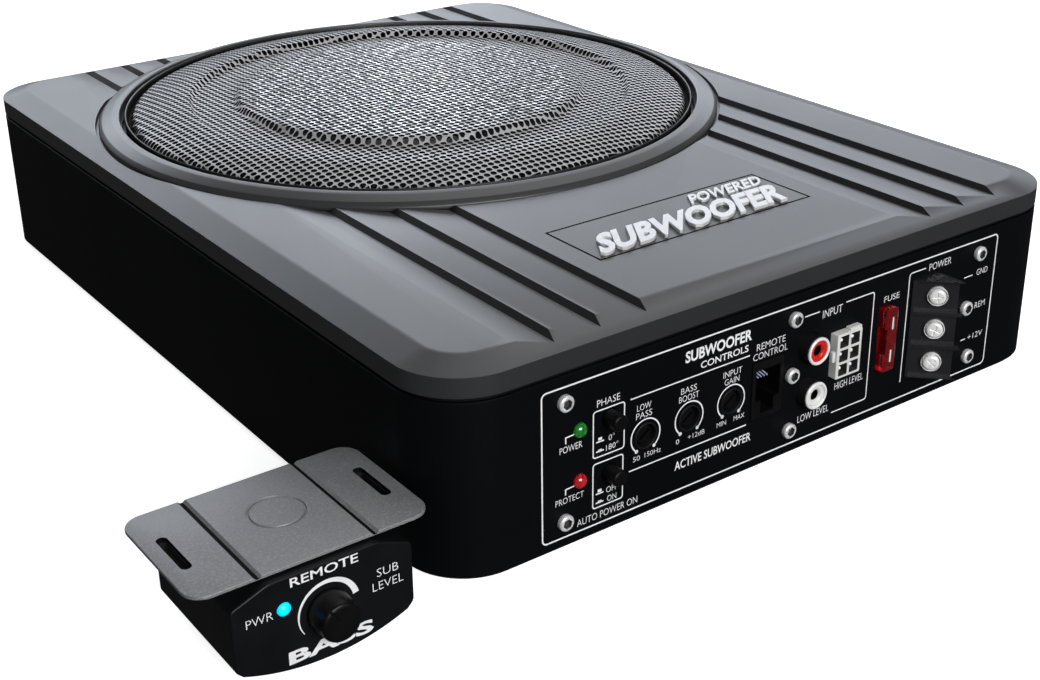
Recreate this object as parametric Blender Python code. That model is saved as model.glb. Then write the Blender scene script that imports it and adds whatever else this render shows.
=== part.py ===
"""Powered under-seat subwoofer with its wired level remote.

The origin lies on the floor under the middle of the case. +X runs to the right along the control wall,
+Y to the back and +Z up. Lengths are written in millimetres, and every helper multiplies by MM when it
makes a mesh or places an object, so the scene is in metres.
"""

from math import asin, cos, pi, radians, sin, sqrt

import bmesh
import bpy
from mathutils import Matrix

MM = 0.001
GAP = 0.3  # between neighbouring pieces

# Case
CASE_W, CASE_D = 258.0, 345.0
CORNER_R = 21.9
WALL = 2.5
FLOOR_Z = 0.8
TUB_TOP_Z = 56.8
SKIRT_Z = 57.9
CREASE_Z = 64.3
TOP_Z = 66.9
CHAMFER_IN = 9.7
COVER_UNDER_Z = 63.9
FRONT = -CASE_D / 2

# Saw-tooth ribs pressed into the cover: the first crease, then the foot of each wall
RIB_GROUPS = ((-99.0, (-86.0, -69.8, -53.2)), (53.0, (67.0, 83.3, 99.0)))
RIB_DEPTH, RIB_RUN = 1.5, 2.0

# Driver, bezel and grille, turned about DRIVER_Y
DRIVER_Y = 43.5
BEZEL_R, BEZEL_IN_R = 122.6, 114.4
RECESS_R, RECESS_Z = 123.6, 65.1
OPENING_R = 113.9
GRILLE_R = 112.5
GRILLE_RIM_Z, GRILLE_T = 69.75, 1.2
# Top of the pressed mesh: a flat dome with an annular channel, rolled down inside the rim
DOME = ((0, 73.8), (40, 73.6), (68.3, 73.1), (70.3, 70.9), (85.3, 70.2), (87.1, 72.3), (94, 72.1), (101, 70.9), (109.6, 68.6))
FLANGE_Z = 62.7
BASKET_R = 106.0
WINDOWS = 6

# Control wall: positions are (x, z), heights are measured outwards from its face
SCREWS = ((-88.0, 48.7), (-88.0, 10.4), (0.3, 48.8), (0.3, 29.7), (0.3, 10.4), (86.2, 48.7), (82.0, 29.8), (85.4, 10.9))
SCREW_HEAD_R, SCREW_SHANK_R = 2.55, 1.3
POTS = ((-58.2, 28.2), (-41.4, 28.4), (-24.6, 28.6))
POT_NAMES = ("low_pass", "bass_boost", "input_gain")
POT_HOLE_R = 4.3
BUTTONS = {"phase": (-71.8, 38.8), "auto_power": (-71.6, 20.9)}
BUTTON_R, BUTTON_OUT, BUTTON_TRAVEL = 2.6, 5.5, 2.5
LEDS = {"green": (-82.1, 37.9), "red": (-82.1, 21.5)}
PHONO = {"red": (8.0, 37.1), "white": (8.0, 21.7)}
PHONO_R, PHONO_OUT = 4.6, 4.5
JACK = (-16.2, -3.2, 18.8, 38.2)
JACK_MOUTH = (-14.7, -4.7, 25.0, 35.5)
JACK_NOTCH = (-12.4, -7.0, 20.5, 25.5)
SOCKET = (17.6, 29.6, 23.2, 38.8)
SOCKET_OUT = 3.5
SOCKET_CELLS_X, SOCKET_CELLS_Z = (21.4, 26.2), (26.1, 31.0, 35.9)
FUSE = (39.5, 45.1, 19.2, 41.5)
FUSE_OUT, FUSE_IN = 3.0, 8.5
TERMINAL_Z = (12.1, 47.7)
TERMINAL_X = (53.8, 66.0)
TERMINAL_OUT = 11.8
CELLS_Z = (18.0, 29.9, 41.7)
CELL_X, CELL_OUT = 59.9, 6.0

# Remote: its own frame is centred on the housing, at floor height, on the housing's front face
REMOTE_X, REMOTE_FRONT = -166.0, -174.5
REMOTE_HALF, REMOTE_DEPTH = 26.3, 45.0
REMOTE_BELLY_R = 65.0
KNOB = (0.4, 15.0)
KNOB_R, KNOB_OUT = 6.2, 8.0

FINISHES = {  # base colour, roughness, metallic
    "cover": ((0.23, 0.24, 0.25), 0.42, 0.6),
    "case": ((0.012, 0.012, 0.013), 0.38, 0.0),
    "grille": ((0.2, 0.21, 0.22), 0.45, 0.6),
    "rubber": ((0.02, 0.02, 0.02), 0.8, 0.0),
    "black": ((0.015, 0.015, 0.016), 0.5, 0.0),
    "steel": ((0.55, 0.55, 0.56), 0.3, 1.0),
    "paper": ((0.03, 0.03, 0.03), 0.85, 0.0),
    "copper": ((0.72, 0.36, 0.2), 0.35, 1.0),
    "ferrite": ((0.06, 0.06, 0.065), 0.7, 0.0),
    "board": ((0.02, 0.18, 0.06), 0.5, 0.0),
    "fabric": ((0.35, 0.26, 0.1), 0.9, 0.0),
    "red": ((0.7, 0.02, 0.02), 0.35, 0.0),
    "white": ((0.8, 0.8, 0.78), 0.4, 0.0),
    "green": ((0.05, 0.7, 0.15), 0.2, 0.0),
    "blue": ((0.05, 0.3, 0.8), 0.2, 0.0),
}


# ---------------------------------------------------------------- outlines


def rectangle(x0, x1, y0, y1):
    return [(x0, y0), (x1, y0), (x1, y1), (x0, y1)]


def rounded(half_x, half_y, radius, steps=6):
    """A rectangle about the origin whose corners are arcs."""
    corners = ((1, 1, 0), (-1, 1, 90), (-1, -1, 180), (1, -1, 270))
    return [
        (
            sx * (half_x - radius) + radius * cos(radians(start + 90 * i / steps)),
            sy * (half_y - radius) + radius * sin(radians(start + 90 * i / steps)),
        )
        for sx, sy, start in corners
        for i in range(steps + 1)
    ]


# ---------------------------------------------------------------- meshes


def lathe(profile, segments=32):
    """A closed outline of (radius, height) points turned about Z."""
    bm = bmesh.new()
    turns = [2 * pi * i / segments for i in range(segments)]
    rings = [
        [bm.verts.new((r * cos(a) * MM, r * sin(a) * MM, z * MM)) for a in (turns if r else turns[:1])]
        for r, z in profile
    ]
    for one, two in zip(rings, rings[1:] + rings[:1]):
        if len(one) == len(two) == 1:
            continue
        for i in range(segments):
            j = (i + 1) % segments
            corners = (one[i % len(one)], one[j % len(one)], two[j % len(two)], two[i % len(two)])
            bm.faces.new(dict.fromkeys(corners))
    bmesh.ops.recalc_face_normals(bm, faces=bm.faces)
    return bm


def rod(radius, low, high, segments=24):
    return lathe([(0, low), (radius, low), (radius, high), (0, high)], segments)


def loft(*sections):
    """A solid through outlines of equal length, each given with its height."""
    bm = bmesh.new()
    rows = [[bm.verts.new((x * MM, y * MM, z * MM)) for x, y in outline] for outline, z in sections]
    for one, two in zip(rows, rows[1:]):
        for i in range(len(one)):
            j = (i + 1) % len(one)
            bm.faces.new((one[i], one[j], two[j], two[i]))
    bm.faces.new(rows[0])
    bm.faces.new(rows[-1])
    bmesh.ops.recalc_face_normals(bm, faces=bm.faces)
    return bm


def prism(outline, low, high):
    return loft((outline, low), (outline, high))


def block(x0, x1, y0, y1, z0, z1):
    return prism(rectangle(x0, x1, y0, y1), z0, z1)


def moved(bm, x=0.0, y=0.0, z=0.0, turn=None):
    if turn:
        bm.transform(turn)
    bm.transform(Matrix.Translation((x * MM, y * MM, z * MM)))
    return bm


def together(*parts):
    """Several closed shapes in one mesh."""
    whole = bmesh.new()
    for part in parts:
        mesh = bpy.data.meshes.new("shape")
        part.to_mesh(mesh)
        part.free()
        whole.from_mesh(mesh)
        bpy.data.meshes.remove(mesh)
    return whole


# ---------------------------------------------------------------- objects


def empty(name, at, turn=(0, 0, 0)):
    obj = bpy.data.objects.new(name, None)
    obj.location = [v * MM for v in at]
    obj.rotation_euler = turn
    bpy.context.scene.collection.objects.link(obj)
    return obj


def object_of(name, bm, at=(0, 0, 0), turn=(0, 0, 0), parent=None):
    mesh = bpy.data.meshes.new(name)
    bm.to_mesh(mesh)
    bm.free()
    mesh.shade_smooth()
    mesh.set_sharp_from_angle(angle=radians(35))
    obj = bpy.data.objects.new(name, mesh)
    obj.location = [v * MM for v in at]
    obj.rotation_euler = turn
    obj.parent = parent
    bpy.context.scene.collection.objects.link(obj)
    return obj


def paint(obj, finish):
    colour, rough, metal = FINISHES[finish]
    material = bpy.data.materials.new(obj.name)
    material.use_nodes = True
    surface = material.node_tree.nodes["Principled BSDF"]
    surface.inputs["Base Color"].default_value = (*colour, 1)
    surface.inputs["Roughness"].default_value = rough
    surface.inputs["Metallic"].default_value = metal
    obj.data.materials.append(material)
    return obj


def piece(name, bm, finish, **place):
    return paint(object_of(name, bm, **place), finish)


def combine(obj, bm, operation, **place):
    """Cuts, joins or intersects the object with a hidden shape."""
    place.setdefault("parent", obj.parent)
    tool = object_of(f"{obj.name}_{operation.lower()}_{len(obj.modifiers)}", bm, **place)
    tool.hide_render = True
    tool.display_type = "WIRE"
    modifier = obj.modifiers.new(tool.name, "BOOLEAN")
    modifier.operation = operation
    modifier.solver = "EXACT"
    modifier.object = tool


for old in list(bpy.data.objects):
    bpy.data.objects.remove(old)

OUTWARD = (pi / 2, 0, 0)  # local x stays X, local y turns up, and local z points out of the front
driver = empty("driver_axis", (0, DRIVER_Y, 0))
wall = empty("control_wall", (0, FRONT, 0), OUTWARD)
remote = empty("remote_frame", (REMOTE_X, REMOTE_FRONT, 0), OUTWARD)


# ---------------------------------------------------------------- case


def case_outline(inset):
    return rounded(CASE_W / 2 - inset, CASE_D / 2 - inset, CORNER_R - inset)


tub = piece(
    "lower_tub",
    loft((case_outline(1.5), FLOOR_Z), (case_outline(0), FLOOR_Z + 1.5), (case_outline(0), TUB_TOP_Z)),
    "case",
)
INNER_FLOOR_Z = FLOOR_Z + WALL
combine(tub, prism(case_outline(WALL), INNER_FLOOR_Z, TUB_TOP_Z + 2), "DIFFERENCE")

FOOT_R, FOOT_T = 8.0, 2.0
FEET = [(sx * 104, sy * 147) for sx in (-1, 1) for sy in (-1, 1)]
combine(tub, together(*(moved(rod(FOOT_R + GAP, -1, FOOT_T + GAP, 18), x, y) for x, y in FEET)), "DIFFERENCE")
for number, (x, y) in enumerate(FEET, 1):
    foot = lathe([(0, 0), (FOOT_R - 0.6, 0), (FOOT_R, 0.6), (FOOT_R, FOOT_T), (0, FOOT_T)], 18)
    piece(f"foot_{number}", foot, "rubber", at=(x, y, 0))

BOARD_Z = (10.0, 11.6)
BOARD = (-105.0, 105.0, -154.0, -88.0)
posts = [(x, y) for x in (-98, 98) for y in (-148, -94)]
combine(
    tub,
    together(*(moved(rod(3, INNER_FLOOR_Z - 1, BOARD_Z[0] - GAP, 8), x, y) for x, y in posts)),
    "UNION",
)


def round_hole(x, z, radius, segments=16):
    return moved(rod(radius, -4, 1.5, segments), x, z)


def square_hole(x0, x1, z0, z1, gap=GAP):
    return block(x0 - gap, x1 + gap, z0 - gap, z1 + gap, -4, 1.5)


TERMINAL_HOLE = (TERMINAL_X[0] + 0.7, TERMINAL_X[1], *TERMINAL_Z)
combine(
    tub,
    together(
        *(round_hole(x, z, SCREW_SHANK_R + GAP, 8) for x, z in SCREWS),
        *(round_hole(x, z, POT_HOLE_R) for x, z in POTS),
        *(round_hole(x, z, BUTTON_R + GAP, 16) for x, z in BUTTONS.values()),
        *(round_hole(x, z, 2.7, 16) for x, z in LEDS.values()),
        *(round_hole(x, z, PHONO_R + GAP) for x, z in PHONO.values()),
        *(square_hole(*spot) for spot in (JACK, SOCKET, FUSE, TERMINAL_HOLE)),
    ),
    "DIFFERENCE",
    parent=wall,
)

gasket = piece("seam_gasket", prism(case_outline(0.9), TUB_TOP_Z + GAP, SKIRT_Z - GAP), "rubber")
combine(gasket, prism(case_outline(2.3), TUB_TOP_Z - 1, SKIRT_Z + 1), "DIFFERENCE")

cover = piece(
    "top_cover",
    loft(
        (case_outline(0), SKIRT_Z),
        (case_outline(0), CREASE_Z),
        (case_outline(CHAMFER_IN), TOP_Z),
    ),
    "cover",
)
combine(cover, prism(case_outline(WALL), SKIRT_Z - 2, COVER_UNDER_Z), "DIFFERENCE")


def rib_outline(crease, walls):
    """Teeth that slope down from the crease and rise steeply at each wall, closed well above the cover."""
    above, low, high = TOP_Z + 1.1, TOP_Z - RIB_DEPTH, TOP_Z - 0.04
    first_run = walls[0] - RIB_RUN - crease
    outline = [(crease - first_run * (above - TOP_Z) / RIB_DEPTH, above)]
    for x in walls[:-1]:
        outline += [(x - RIB_RUN, low), (x, high)]
    last = walls[-1]
    return outline + [(last - RIB_RUN, low), (last + RIB_RUN * (above - TOP_Z) / RIB_DEPTH, above)]


teeth = [prism(rib_outline(*group), FRONT - 5, -FRONT + 5) for group in RIB_GROUPS]
combine(cover, together(*teeth), "DIFFERENCE", turn=OUTWARD)
driver_mouth = [
    (0, 60),
    (OPENING_R, 60),
    (OPENING_R, RECESS_Z),
    (RECESS_R, RECESS_Z),
    (RECESS_R, 70),
    (0, 70),
]
combine(cover, lathe(driver_mouth, 60), "DIFFERENCE", parent=driver)

bezel = [
    (BEZEL_IN_R, RECESS_Z + GAP),
    (BEZEL_R, RECESS_Z + GAP),
    (BEZEL_R, 68.2),
    (119.5, 69.0),
    (116.5, 69.7),
    (114.9, 69.8),
    (BEZEL_IN_R, 69.5),
]
piece("bezel_ring", lathe(bezel, 60), "cover", parent=driver)

rim = [
    (110.4, GRILLE_RIM_Z),
    (112.2, GRILLE_RIM_Z),
    (GRILLE_R, 69.4),
    (GRILLE_R, FLANGE_Z + GAP),
    (GRILLE_R - 1.4, FLANGE_Z + GAP),
    (GRILLE_R - 1.4, 67.6),
]
grille = [*DOME, *rim, *((r, z - GRILLE_T) for r, z in reversed(DOME))]
piece("grille", lathe(grille, 44), "grille", parent=driver)


# ---------------------------------------------------------------- driver

basket = piece(
    "basket",
    lathe(
        [
            (120, FLANGE_Z),
            (120, FLANGE_Z - 1.5),
            (BASKET_R, FLANGE_Z - 1.5),
            (BASKET_R, 45),
            (64, 32),
            (57, 24.3),
            (30, 24.3),
            (30, 26.3),
            (53, 26.3),
            (57.5, 34.0),
            (61.5, 34.0),
            (63, 34.8),
            (BASKET_R - 2.5, 46.8),
            (BASKET_R - 2.5, FLANGE_Z),
        ],
        36,
    ),
    "black",
    parent=driver,
)


def sector(inner, outer, half_angle):
    points = [(inner, -half_angle), (outer, -half_angle), (outer, 0), (outer, half_angle), (inner, half_angle)]
    return [(r * cos(radians(a)), r * sin(radians(a))) for r, a in points]


windows = [
    moved(prism(sector(70, 112, 19), 28, 56), turn=Matrix.Rotation(2 * pi * i / WINDOWS, 4, "Z"))
    for i in range(WINDOWS)
]
combine(basket, together(*windows), "DIFFERENCE")

gasket_z = (FLANGE_Z + GAP, COVER_UNDER_Z - GAP)
piece(
    "driver_gasket",
    lathe([(114.6, gasket_z[0]), (119.6, gasket_z[0]), (119.6, gasket_z[1]), (114.6, gasket_z[1])], 32),
    "rubber",
    parent=driver,
)

ROLL_R, ROLL_MID, ROLL_Z, SURROUND_T = 6.0, 97.0, 62.8, 0.9


def half_roll(radius, turns):
    """Points along a half circle that hangs below ROLL_Z."""
    return [(ROLL_MID + radius * cos(radians(a)), ROLL_Z - radius * sin(radians(a))) for a in turns]


surround = (
    [(109, 63.0), (109, 63.0 + SURROUND_T), (103.5, 63.0 + SURROUND_T)]
    + half_roll(ROLL_R - SURROUND_T, range(0, 181, 45))
    + [(ROLL_MID - ROLL_R, ROLL_Z), (88.5, 61.9), (88.5, 61.0), (ROLL_MID - ROLL_R + 0.2, 61.0)]
    + half_roll(ROLL_R, range(135, 0, -45))
    + [(ROLL_MID + ROLL_R, 63.0)]
)
piece("surround", lathe(surround, 32), "rubber", parent=driver)
cone = [(90.4, 60.7), (88.5, 60.7), (29, 39.5), (26.6, 39.5), (26.6, 38.4), (29.4, 38.4), (90.4, 59.9)]
piece("cone", lathe(cone, 32), "paper", parent=driver)
cap = [(31, 40.7), (31, 41.4), (24, 45.0), (13, 47.5), (0, 48.3), (0, 47.3), (13, 46.5), (23.4, 44.2), (29.6, 40.7)]
piece("dust_cap", lathe(cap, 24), "paper", parent=driver)
coil = [(25.5, 16), (26.3, 16), (26.3, 17.5), (26.9, 17.5), (26.9, 26.5), (26.3, 26.5), (26.3, 39.2), (25.5, 39.2)]
piece("voice_coil", lathe(coil, 24), "copper", parent=driver)

SPIDER_T, SPIDER_WAVES = 0.7, 3
spider_r = [27.0 + 30.5 * i / (2 * SPIDER_WAVES) for i in range(2 * SPIDER_WAVES + 1)]
spider_z = [33.4 + (0.9 if i % 2 else 0) + 0.9 * i / (2 * SPIDER_WAVES) for i in range(2 * SPIDER_WAVES + 1)]
spider = [(61.2, 34.3), (61.2, 34.3 + SPIDER_T)] + [(r, z + SPIDER_T) for r, z in zip(spider_r, spider_z)][::-1]
spider += [(26.6, 33.4 + SPIDER_T), (26.6, 33.4)] + list(zip(spider_r, spider_z))
piece("spider", lathe(spider, 24), "fabric", parent=driver)

POLE_R = 24.6
piece("top_plate", lathe([(27.2, 20), (48, 20), (48, 24), (27.2, 24)], 28), "steel", parent=driver)
piece("magnet", lathe([(31, 9.5), (50, 9.5), (50, 19.7), (31, 19.7)], 28), "ferrite", parent=driver)
plate = [(0, 5.2), (47, 5.2), (48, 6.2), (48, 9.2), (POLE_R, 9.2), (POLE_R, 24), (0, 24)]
piece("back_plate", lathe(plate, 28), "steel", parent=driver)

tags = piece("driver_terminal", block(-9, 9, -68, -62.9, 46, 53), "black")
combine(
    tags,
    together(*(block(x - 2.4, x + 2.4, -67, -66.2, 40, 47) for x in (-5, 5))),
    "UNION",
)

# Lead from the board to the tag block, in one bend
lead_from, lead_to = (24.0, -90.5, 12.2), (5.0, -68.5, 49.5)
points = []
for i in range(13):
    t = i / 12
    # a cubic that leaves the board upwards and passes over the heat sink
    weights = ((1 - t) ** 3, 3 * t * (1 - t) ** 2, 3 * t * t * (1 - t), t**3)
    handles = (lead_from, (24.0, -90.5, 52.0), (5.0, -88.0, 50.0), lead_to)
    points.append([sum(w * h[k] for w, h in zip(weights, handles)) for k in range(3)])
route = bpy.data.curves.new("speaker_lead", "CURVE")
route.dimensions = "3D"
route.bevel_depth = 1.2 * MM
route.bevel_resolution = 2
route.use_fill_caps = True
spline = route.splines.new("POLY")
spline.points.add(len(points) - 1)
for target, point in zip(spline.points, points):
    target.co = (*(v * MM for v in point), 1)
lead = bpy.data.objects.new("speaker_lead", route)
bpy.context.scene.collection.objects.link(lead)
paint(lead, "red")


# ---------------------------------------------------------------- amplifier

board = piece("amp_board", block(*BOARD, *BOARD_Z), "board")
ON_BOARD = BOARD_Z[1] - 0.5
parts = [moved(rod(16, ON_BOARD, 26, 16), -72, -118)]
parts += [moved(rod(7, ON_BOARD, 34, 10), x, -112) for x in (-36, -18)]
parts += [moved(rod(5, ON_BOARD, 26, 8), x, y) for x, y in ((66, -108), (80, -108), (66, -124), (80, -124))]
parts += [block(x, x + 9, -92.5, -89, ON_BOARD, 28) for x in (-48, -30, -12, 34, 48)]
parts += [block(6, 26, -120, -106, ON_BOARD, 15), block(38, 54, -128, -112, ON_BOARD, 22)]
combine(board, together(*parts), "UNION")

SINK_Y = (-84.0, -72.0)
sink = piece("heat_sink", block(-58, 58, *SINK_Y, INNER_FLOOR_Z + GAP, 36), "steel")
fins = [block(x - 3, x + 3, SINK_Y[0] + 3, SINK_Y[1] + 1, INNER_FLOOR_Z - 1, 37) for x in range(-48, 49, 12)]
combine(sink, together(*fins), "DIFFERENCE")


# ---------------------------------------------------------------- control wall

screw = [(0, 1.2), (1.4, 1.2), (1.4, 2.5), (2.4, 2.5), (SCREW_HEAD_R, 2.1), (SCREW_HEAD_R, GAP)]
screw += [(SCREW_SHANK_R, GAP), (SCREW_SHANK_R, -8), (0, -8)]
for number, (x, z) in enumerate(SCREWS, 1):
    piece(f"panel_screw_{number}", lathe(screw, 12), "steel", at=(x, z, 0), parent=wall)

for name, (x, z) in zip(POT_NAMES, POTS):
    body = piece(f"{name}_pot", block(-5.5, 5.5, -5.5, 5.5, -12, -5), "black", at=(x, z, 0), parent=wall)
    combine(body, rod(2.7, -13, -4, 16), "DIFFERENCE", at=(x, z, 0))
    shaft = lathe([(0, -1), (2.9, -1), (3.3, -1.4), (3.3, -4.7), (2.4, -4.7), (2.4, -11.5), (0, -11.5)], 16)
    shaft = piece(f"{name}_shaft", shaft, "black", at=(x, z, 0), parent=wall)
    combine(shaft, block(-2.6, 2.6, -0.5, 0.5, -2.2, 0), "DIFFERENCE", at=(x, z, 0))

SWITCH_FRONT = -3.2
for name, (x, z) in BUTTONS.items():
    body = block(-4.5, 4.5, -4.5, 4.5, -14, SWITCH_FRONT)
    body = piece(f"{name}_switch", body, "black", at=(x, z, 0), parent=wall)
    bore = rod(BUTTON_R + GAP, -5.5 - BUTTON_TRAVEL - 1, SWITCH_FRONT + 1, 16)
    combine(body, bore, "DIFFERENCE", at=(x, z, 0))
    stem = [(0, BUTTON_OUT), (BUTTON_R - 0.5, BUTTON_OUT), (BUTTON_R, BUTTON_OUT - 0.5), (BUTTON_R, -5.5), (0, -5.5)]
    piece(f"{name}_button", lathe(stem, 16), "black", at=(x, z, 0), parent=wall)

for colour, (x, z) in LEDS.items():
    lens = [(0, 1.5), (1.5, 1.15), (2.4, 0), (2.4, -2.8), (3.2, -2.8), (3.2, -3.8), (0, -3.8)]
    piece(f"led_{colour}", lathe(lens, 14), colour, at=(x, z, 0), parent=wall)

for colour, (x, z) in PHONO.items():
    socket = [
        (0, -9),
        (1.7, -9),
        (1.7, PHONO_OUT - 0.4),
        (3.7, PHONO_OUT - 0.4),
        (3.7, PHONO_OUT),
        (PHONO_R - 0.2, PHONO_OUT),
        (PHONO_R, PHONO_OUT - 0.3),
        (PHONO_R, -2.8),
        (6.5, -2.8),
        (6.5, -4.3),
        (4.0, -4.3),
        (4.0, -14),
        (0, -14),
    ]
    piece(f"phono_{colour}", lathe(socket, 18), colour, at=(x, z, 0), parent=wall)

jack = piece("remote_jack", prism(rectangle(*JACK), -16, 0.3), "black", parent=wall)
combine(jack, prism(rectangle(*JACK_MOUTH), -13, 1), "DIFFERENCE")
combine(jack, prism(rectangle(*JACK_NOTCH), -9, 1), "DIFFERENCE")

socket = piece("high_level_socket", prism(rectangle(*SOCKET), -12, SOCKET_OUT), "white", parent=wall)
cells = [block(x - 1.5, x + 1.5, z - 1.6, z + 1.6, -6, SOCKET_OUT + 1) for x in SOCKET_CELLS_X for z in SOCKET_CELLS_Z]
combine(socket, together(*cells), "DIFFERENCE")
combine(socket, block(SOCKET[0] - 1.3, SOCKET[0] + 0.5, 28.6, 33.4, 0.6, 3.0), "UNION")

x0, x1, z0, z1 = FUSE
fuse_mid_z = (z0 + z1) / 2
holder = piece("fuse_holder", block(x0 - 2, x1 + 2, z0 - 3.2, z1 + 3.5, -16.5, -2.8), "black", parent=wall)
combine(holder, block(x0 - GAP, x1 + GAP, z0 - GAP, z1 + GAP, -FUSE_IN - 0.4, 0), "DIFFERENCE")
BLADES = [(fuse_mid_z + side * 6.3 - 2.5, fuse_mid_z + side * 6.3 + 2.5) for side in (-1, 1)]
slots = [block(41.6, 43.0, low - GAP, high + GAP, -15.5, -8) for low, high in BLADES]
combine(holder, together(*slots), "DIFFERENCE")
fuse = piece("fuse", block(x0, x1, z0, z1, -FUSE_IN, FUSE_OUT), "red", parent=wall)
combine(fuse, together(*(block(41.9, 42.7, low, high, -14.5, -8) for low, high in BLADES)), "UNION")

tip_x = TERMINAL_X[0] + TERMINAL_OUT - GAP
terminal_plan = [
    (TERMINAL_X[0] + 0.7 + GAP, FRONT + 12),
    (TERMINAL_X[0] + 0.7 + GAP, FRONT - GAP),
    (TERMINAL_X[0], FRONT - GAP),
    (tip_x, FRONT - TERMINAL_OUT),
    (TERMINAL_X[1] - GAP, FRONT - TERMINAL_OUT),
    (TERMINAL_X[1] - GAP, FRONT + 12),
]
terminals = piece("terminal_block", prism(terminal_plan, TERMINAL_Z[0] + GAP, TERMINAL_Z[1] - GAP), "black")
DIAGONAL = (pi / 2, 0, -pi / 4)  # local z points out of the block's slanted face
cells = [moved(block(-7.6, 13, -5.1, 5.1, -2.2, 4), 0, z) for z in CELLS_Z]
combine(terminals, together(*cells), "DIFFERENCE", at=(CELL_X, FRONT - CELL_OUT, 0), turn=DIAGONAL)
bores = [moved(rod(2.1, -6.4, 0, 14), 0, z) for z in CELLS_Z]
combine(terminals, together(*bores), "DIFFERENCE", at=(CELL_X, FRONT - CELL_OUT, 0), turn=DIAGONAL)
entries = [block(62.5, 68, FRONT - 5.7, FRONT - 0.9, z - 3, z + 3) for z in CELLS_Z]
combine(terminals, together(*entries), "DIFFERENCE")
for number, z in enumerate(CELLS_Z, 1):
    clamp = lathe([(0, 0.4), (3.6, 0.4), (4.1, -0.1), (4.1, -1.9), (1.8, -1.9), (1.8, -5.6), (0, -5.6)], 16)
    place = {"at": (CELL_X, FRONT - CELL_OUT, z), "turn": DIAGONAL}
    clamp = piece(f"terminal_screw_{number}", clamp, "steel", **place)
    combine(clamp, block(-5, 5, -0.6, 0.6, -0.6, 1), "DIFFERENCE", **place)


# ---------------------------------------------------------------- remote

belly_edge = REMOTE_BELLY_R - sqrt(REMOTE_BELLY_R**2 - (REMOTE_HALF - 2) ** 2)
sweep = asin((REMOTE_HALF - 2) / REMOTE_BELLY_R)
belly = [
    (REMOTE_BELLY_R * sin(sweep * k / 5), REMOTE_BELLY_R * (1 - cos(sweep * k / 5)))
    for k in range(-5, 6)
]
shell = belly + [
    (REMOTE_HALF - 0.6, belly_edge + 1.0),
    (REMOTE_HALF, belly_edge + 2.6),
    (REMOTE_HALF, 24.3),
    (REMOTE_HALF - 0.8, 25.2),
    (15.8, 28.9),
    (-15.8, 28.9),
    (-REMOTE_HALF + 0.8, 25.2),
    (-REMOTE_HALF, 24.3),
    (-REMOTE_HALF, belly_edge + 2.6),
    (-REMOTE_HALF + 0.6, belly_edge + 1.0),
]
shrink = [(x * 0.985, 14.5 + (z - 14.5) * 0.975) for x, z in shell]
housing = piece("remote_housing", loft((shell, -REMOTE_DEPTH), (shell, -0.5), (shrink, 0)), "black", parent=remote)
CAVITY = [(-23, 6.5), (-12, 3.2), (12, 3.2), (23, 6.5), (23, 22.3), (13, 26.4), (-13, 26.4), (-23, 22.3)]
combine(housing, prism(CAVITY, -REMOTE_DEPTH - 1, -2.5), "DIFFERENCE")
REMOTE_LED = (-11.7, 19.9)
holes = together(moved(rod(3.2, -4, 1, 20), *KNOB), moved(rod(2.2, -4, 1, 16), *REMOTE_LED))
combine(housing, holes, "DIFFERENCE")

# A flat plate with two channels, where its slotted wings begin
BRACKET_FRONT, BRACKET_BACK = -2.4, -47.0
BRACKET_Z, WING_HALF = (29.3, 30.5), 35.0
CHANNEL = (15.7, 17.9)
SLOT_X, SLOT_LONG, SLOT_WIDE = 29.2, 17.4, 3.1
LIE_FLAT = (-pi / 2, 0, 0)
bracket_mid = (BRACKET_FRONT + BRACKET_BACK) / 2
plan = rounded(WING_HALF, (BRACKET_FRONT - BRACKET_BACK) / 2, 6)
place = {"at": (0, 0, bracket_mid), "turn": LIE_FLAT}
bracket = piece("remote_bracket", prism(plan, *BRACKET_Z), "black", parent=remote, **place)
slots = [
    moved(prism(rounded(SLOT_WIDE / 2, SLOT_LONG / 2, SLOT_WIDE / 2 - 0.01, 4), 20, 40), x)
    for x in (-SLOT_X, SLOT_X)
]
combine(bracket, together(*slots), "DIFFERENCE", **place)
channels = [block(*sorted((s * CHANNEL[0], s * CHANNEL[1])), -30, 30, 29.9, 32) for s in (-1, 1)]
combine(bracket, together(*channels), "DIFFERENCE", **place)

lid_outline = [(x * 0.98, 14.6 + (z - 14.6) * 0.965) for x, z in CAVITY]
lid = piece("remote_back", prism(lid_outline, -REMOTE_DEPTH + 0.3, -REMOTE_DEPTH + 2.3), "black", parent=remote)
combine(lid, block(-7.5, 7.5, 7, 21, -REMOTE_DEPTH + 1.8, -REMOTE_DEPTH + 13), "UNION")
combine(lid, block(-5.2, 5.2, 9, 18, -REMOTE_DEPTH - 1, -REMOTE_DEPTH + 11), "DIFFERENCE")

pot = block(-7, 7, -7, 7, -10, -2.8)
pot = piece("remote_pot", pot, "black", at=(*KNOB, 0), parent=remote)
combine(pot, rod(3.1, -11, 0, 16), "DIFFERENCE", at=(*KNOB, 0))
knob = [(0, KNOB_OUT), (KNOB_R - 1.2, KNOB_OUT), (KNOB_R - 0.5, KNOB_OUT - 0.6), (KNOB_R, 0.6)]
knob += [(KNOB_R, GAP), (2.8, GAP), (2.8, -9), (0, -9)]
knob = piece("remote_knob", lathe(knob, 24), "black", at=(*KNOB, 0), parent=remote)
pointer = block(-0.5, 0.5, 2.5, 7, KNOB_OUT - 0.5, KNOB_OUT + 1)
combine(knob, pointer, "DIFFERENCE", at=(*KNOB, 0))
lens = [(0, 1.0), (1.2, 0.7), (1.9, 0), (1.9, -2.8), (2.6, -2.8), (2.6, -3.6), (0, -3.6)]
piece("remote_led", lathe(lens, 14), "blue", at=(*REMOTE_LED, 0), parent=remote)
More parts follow.
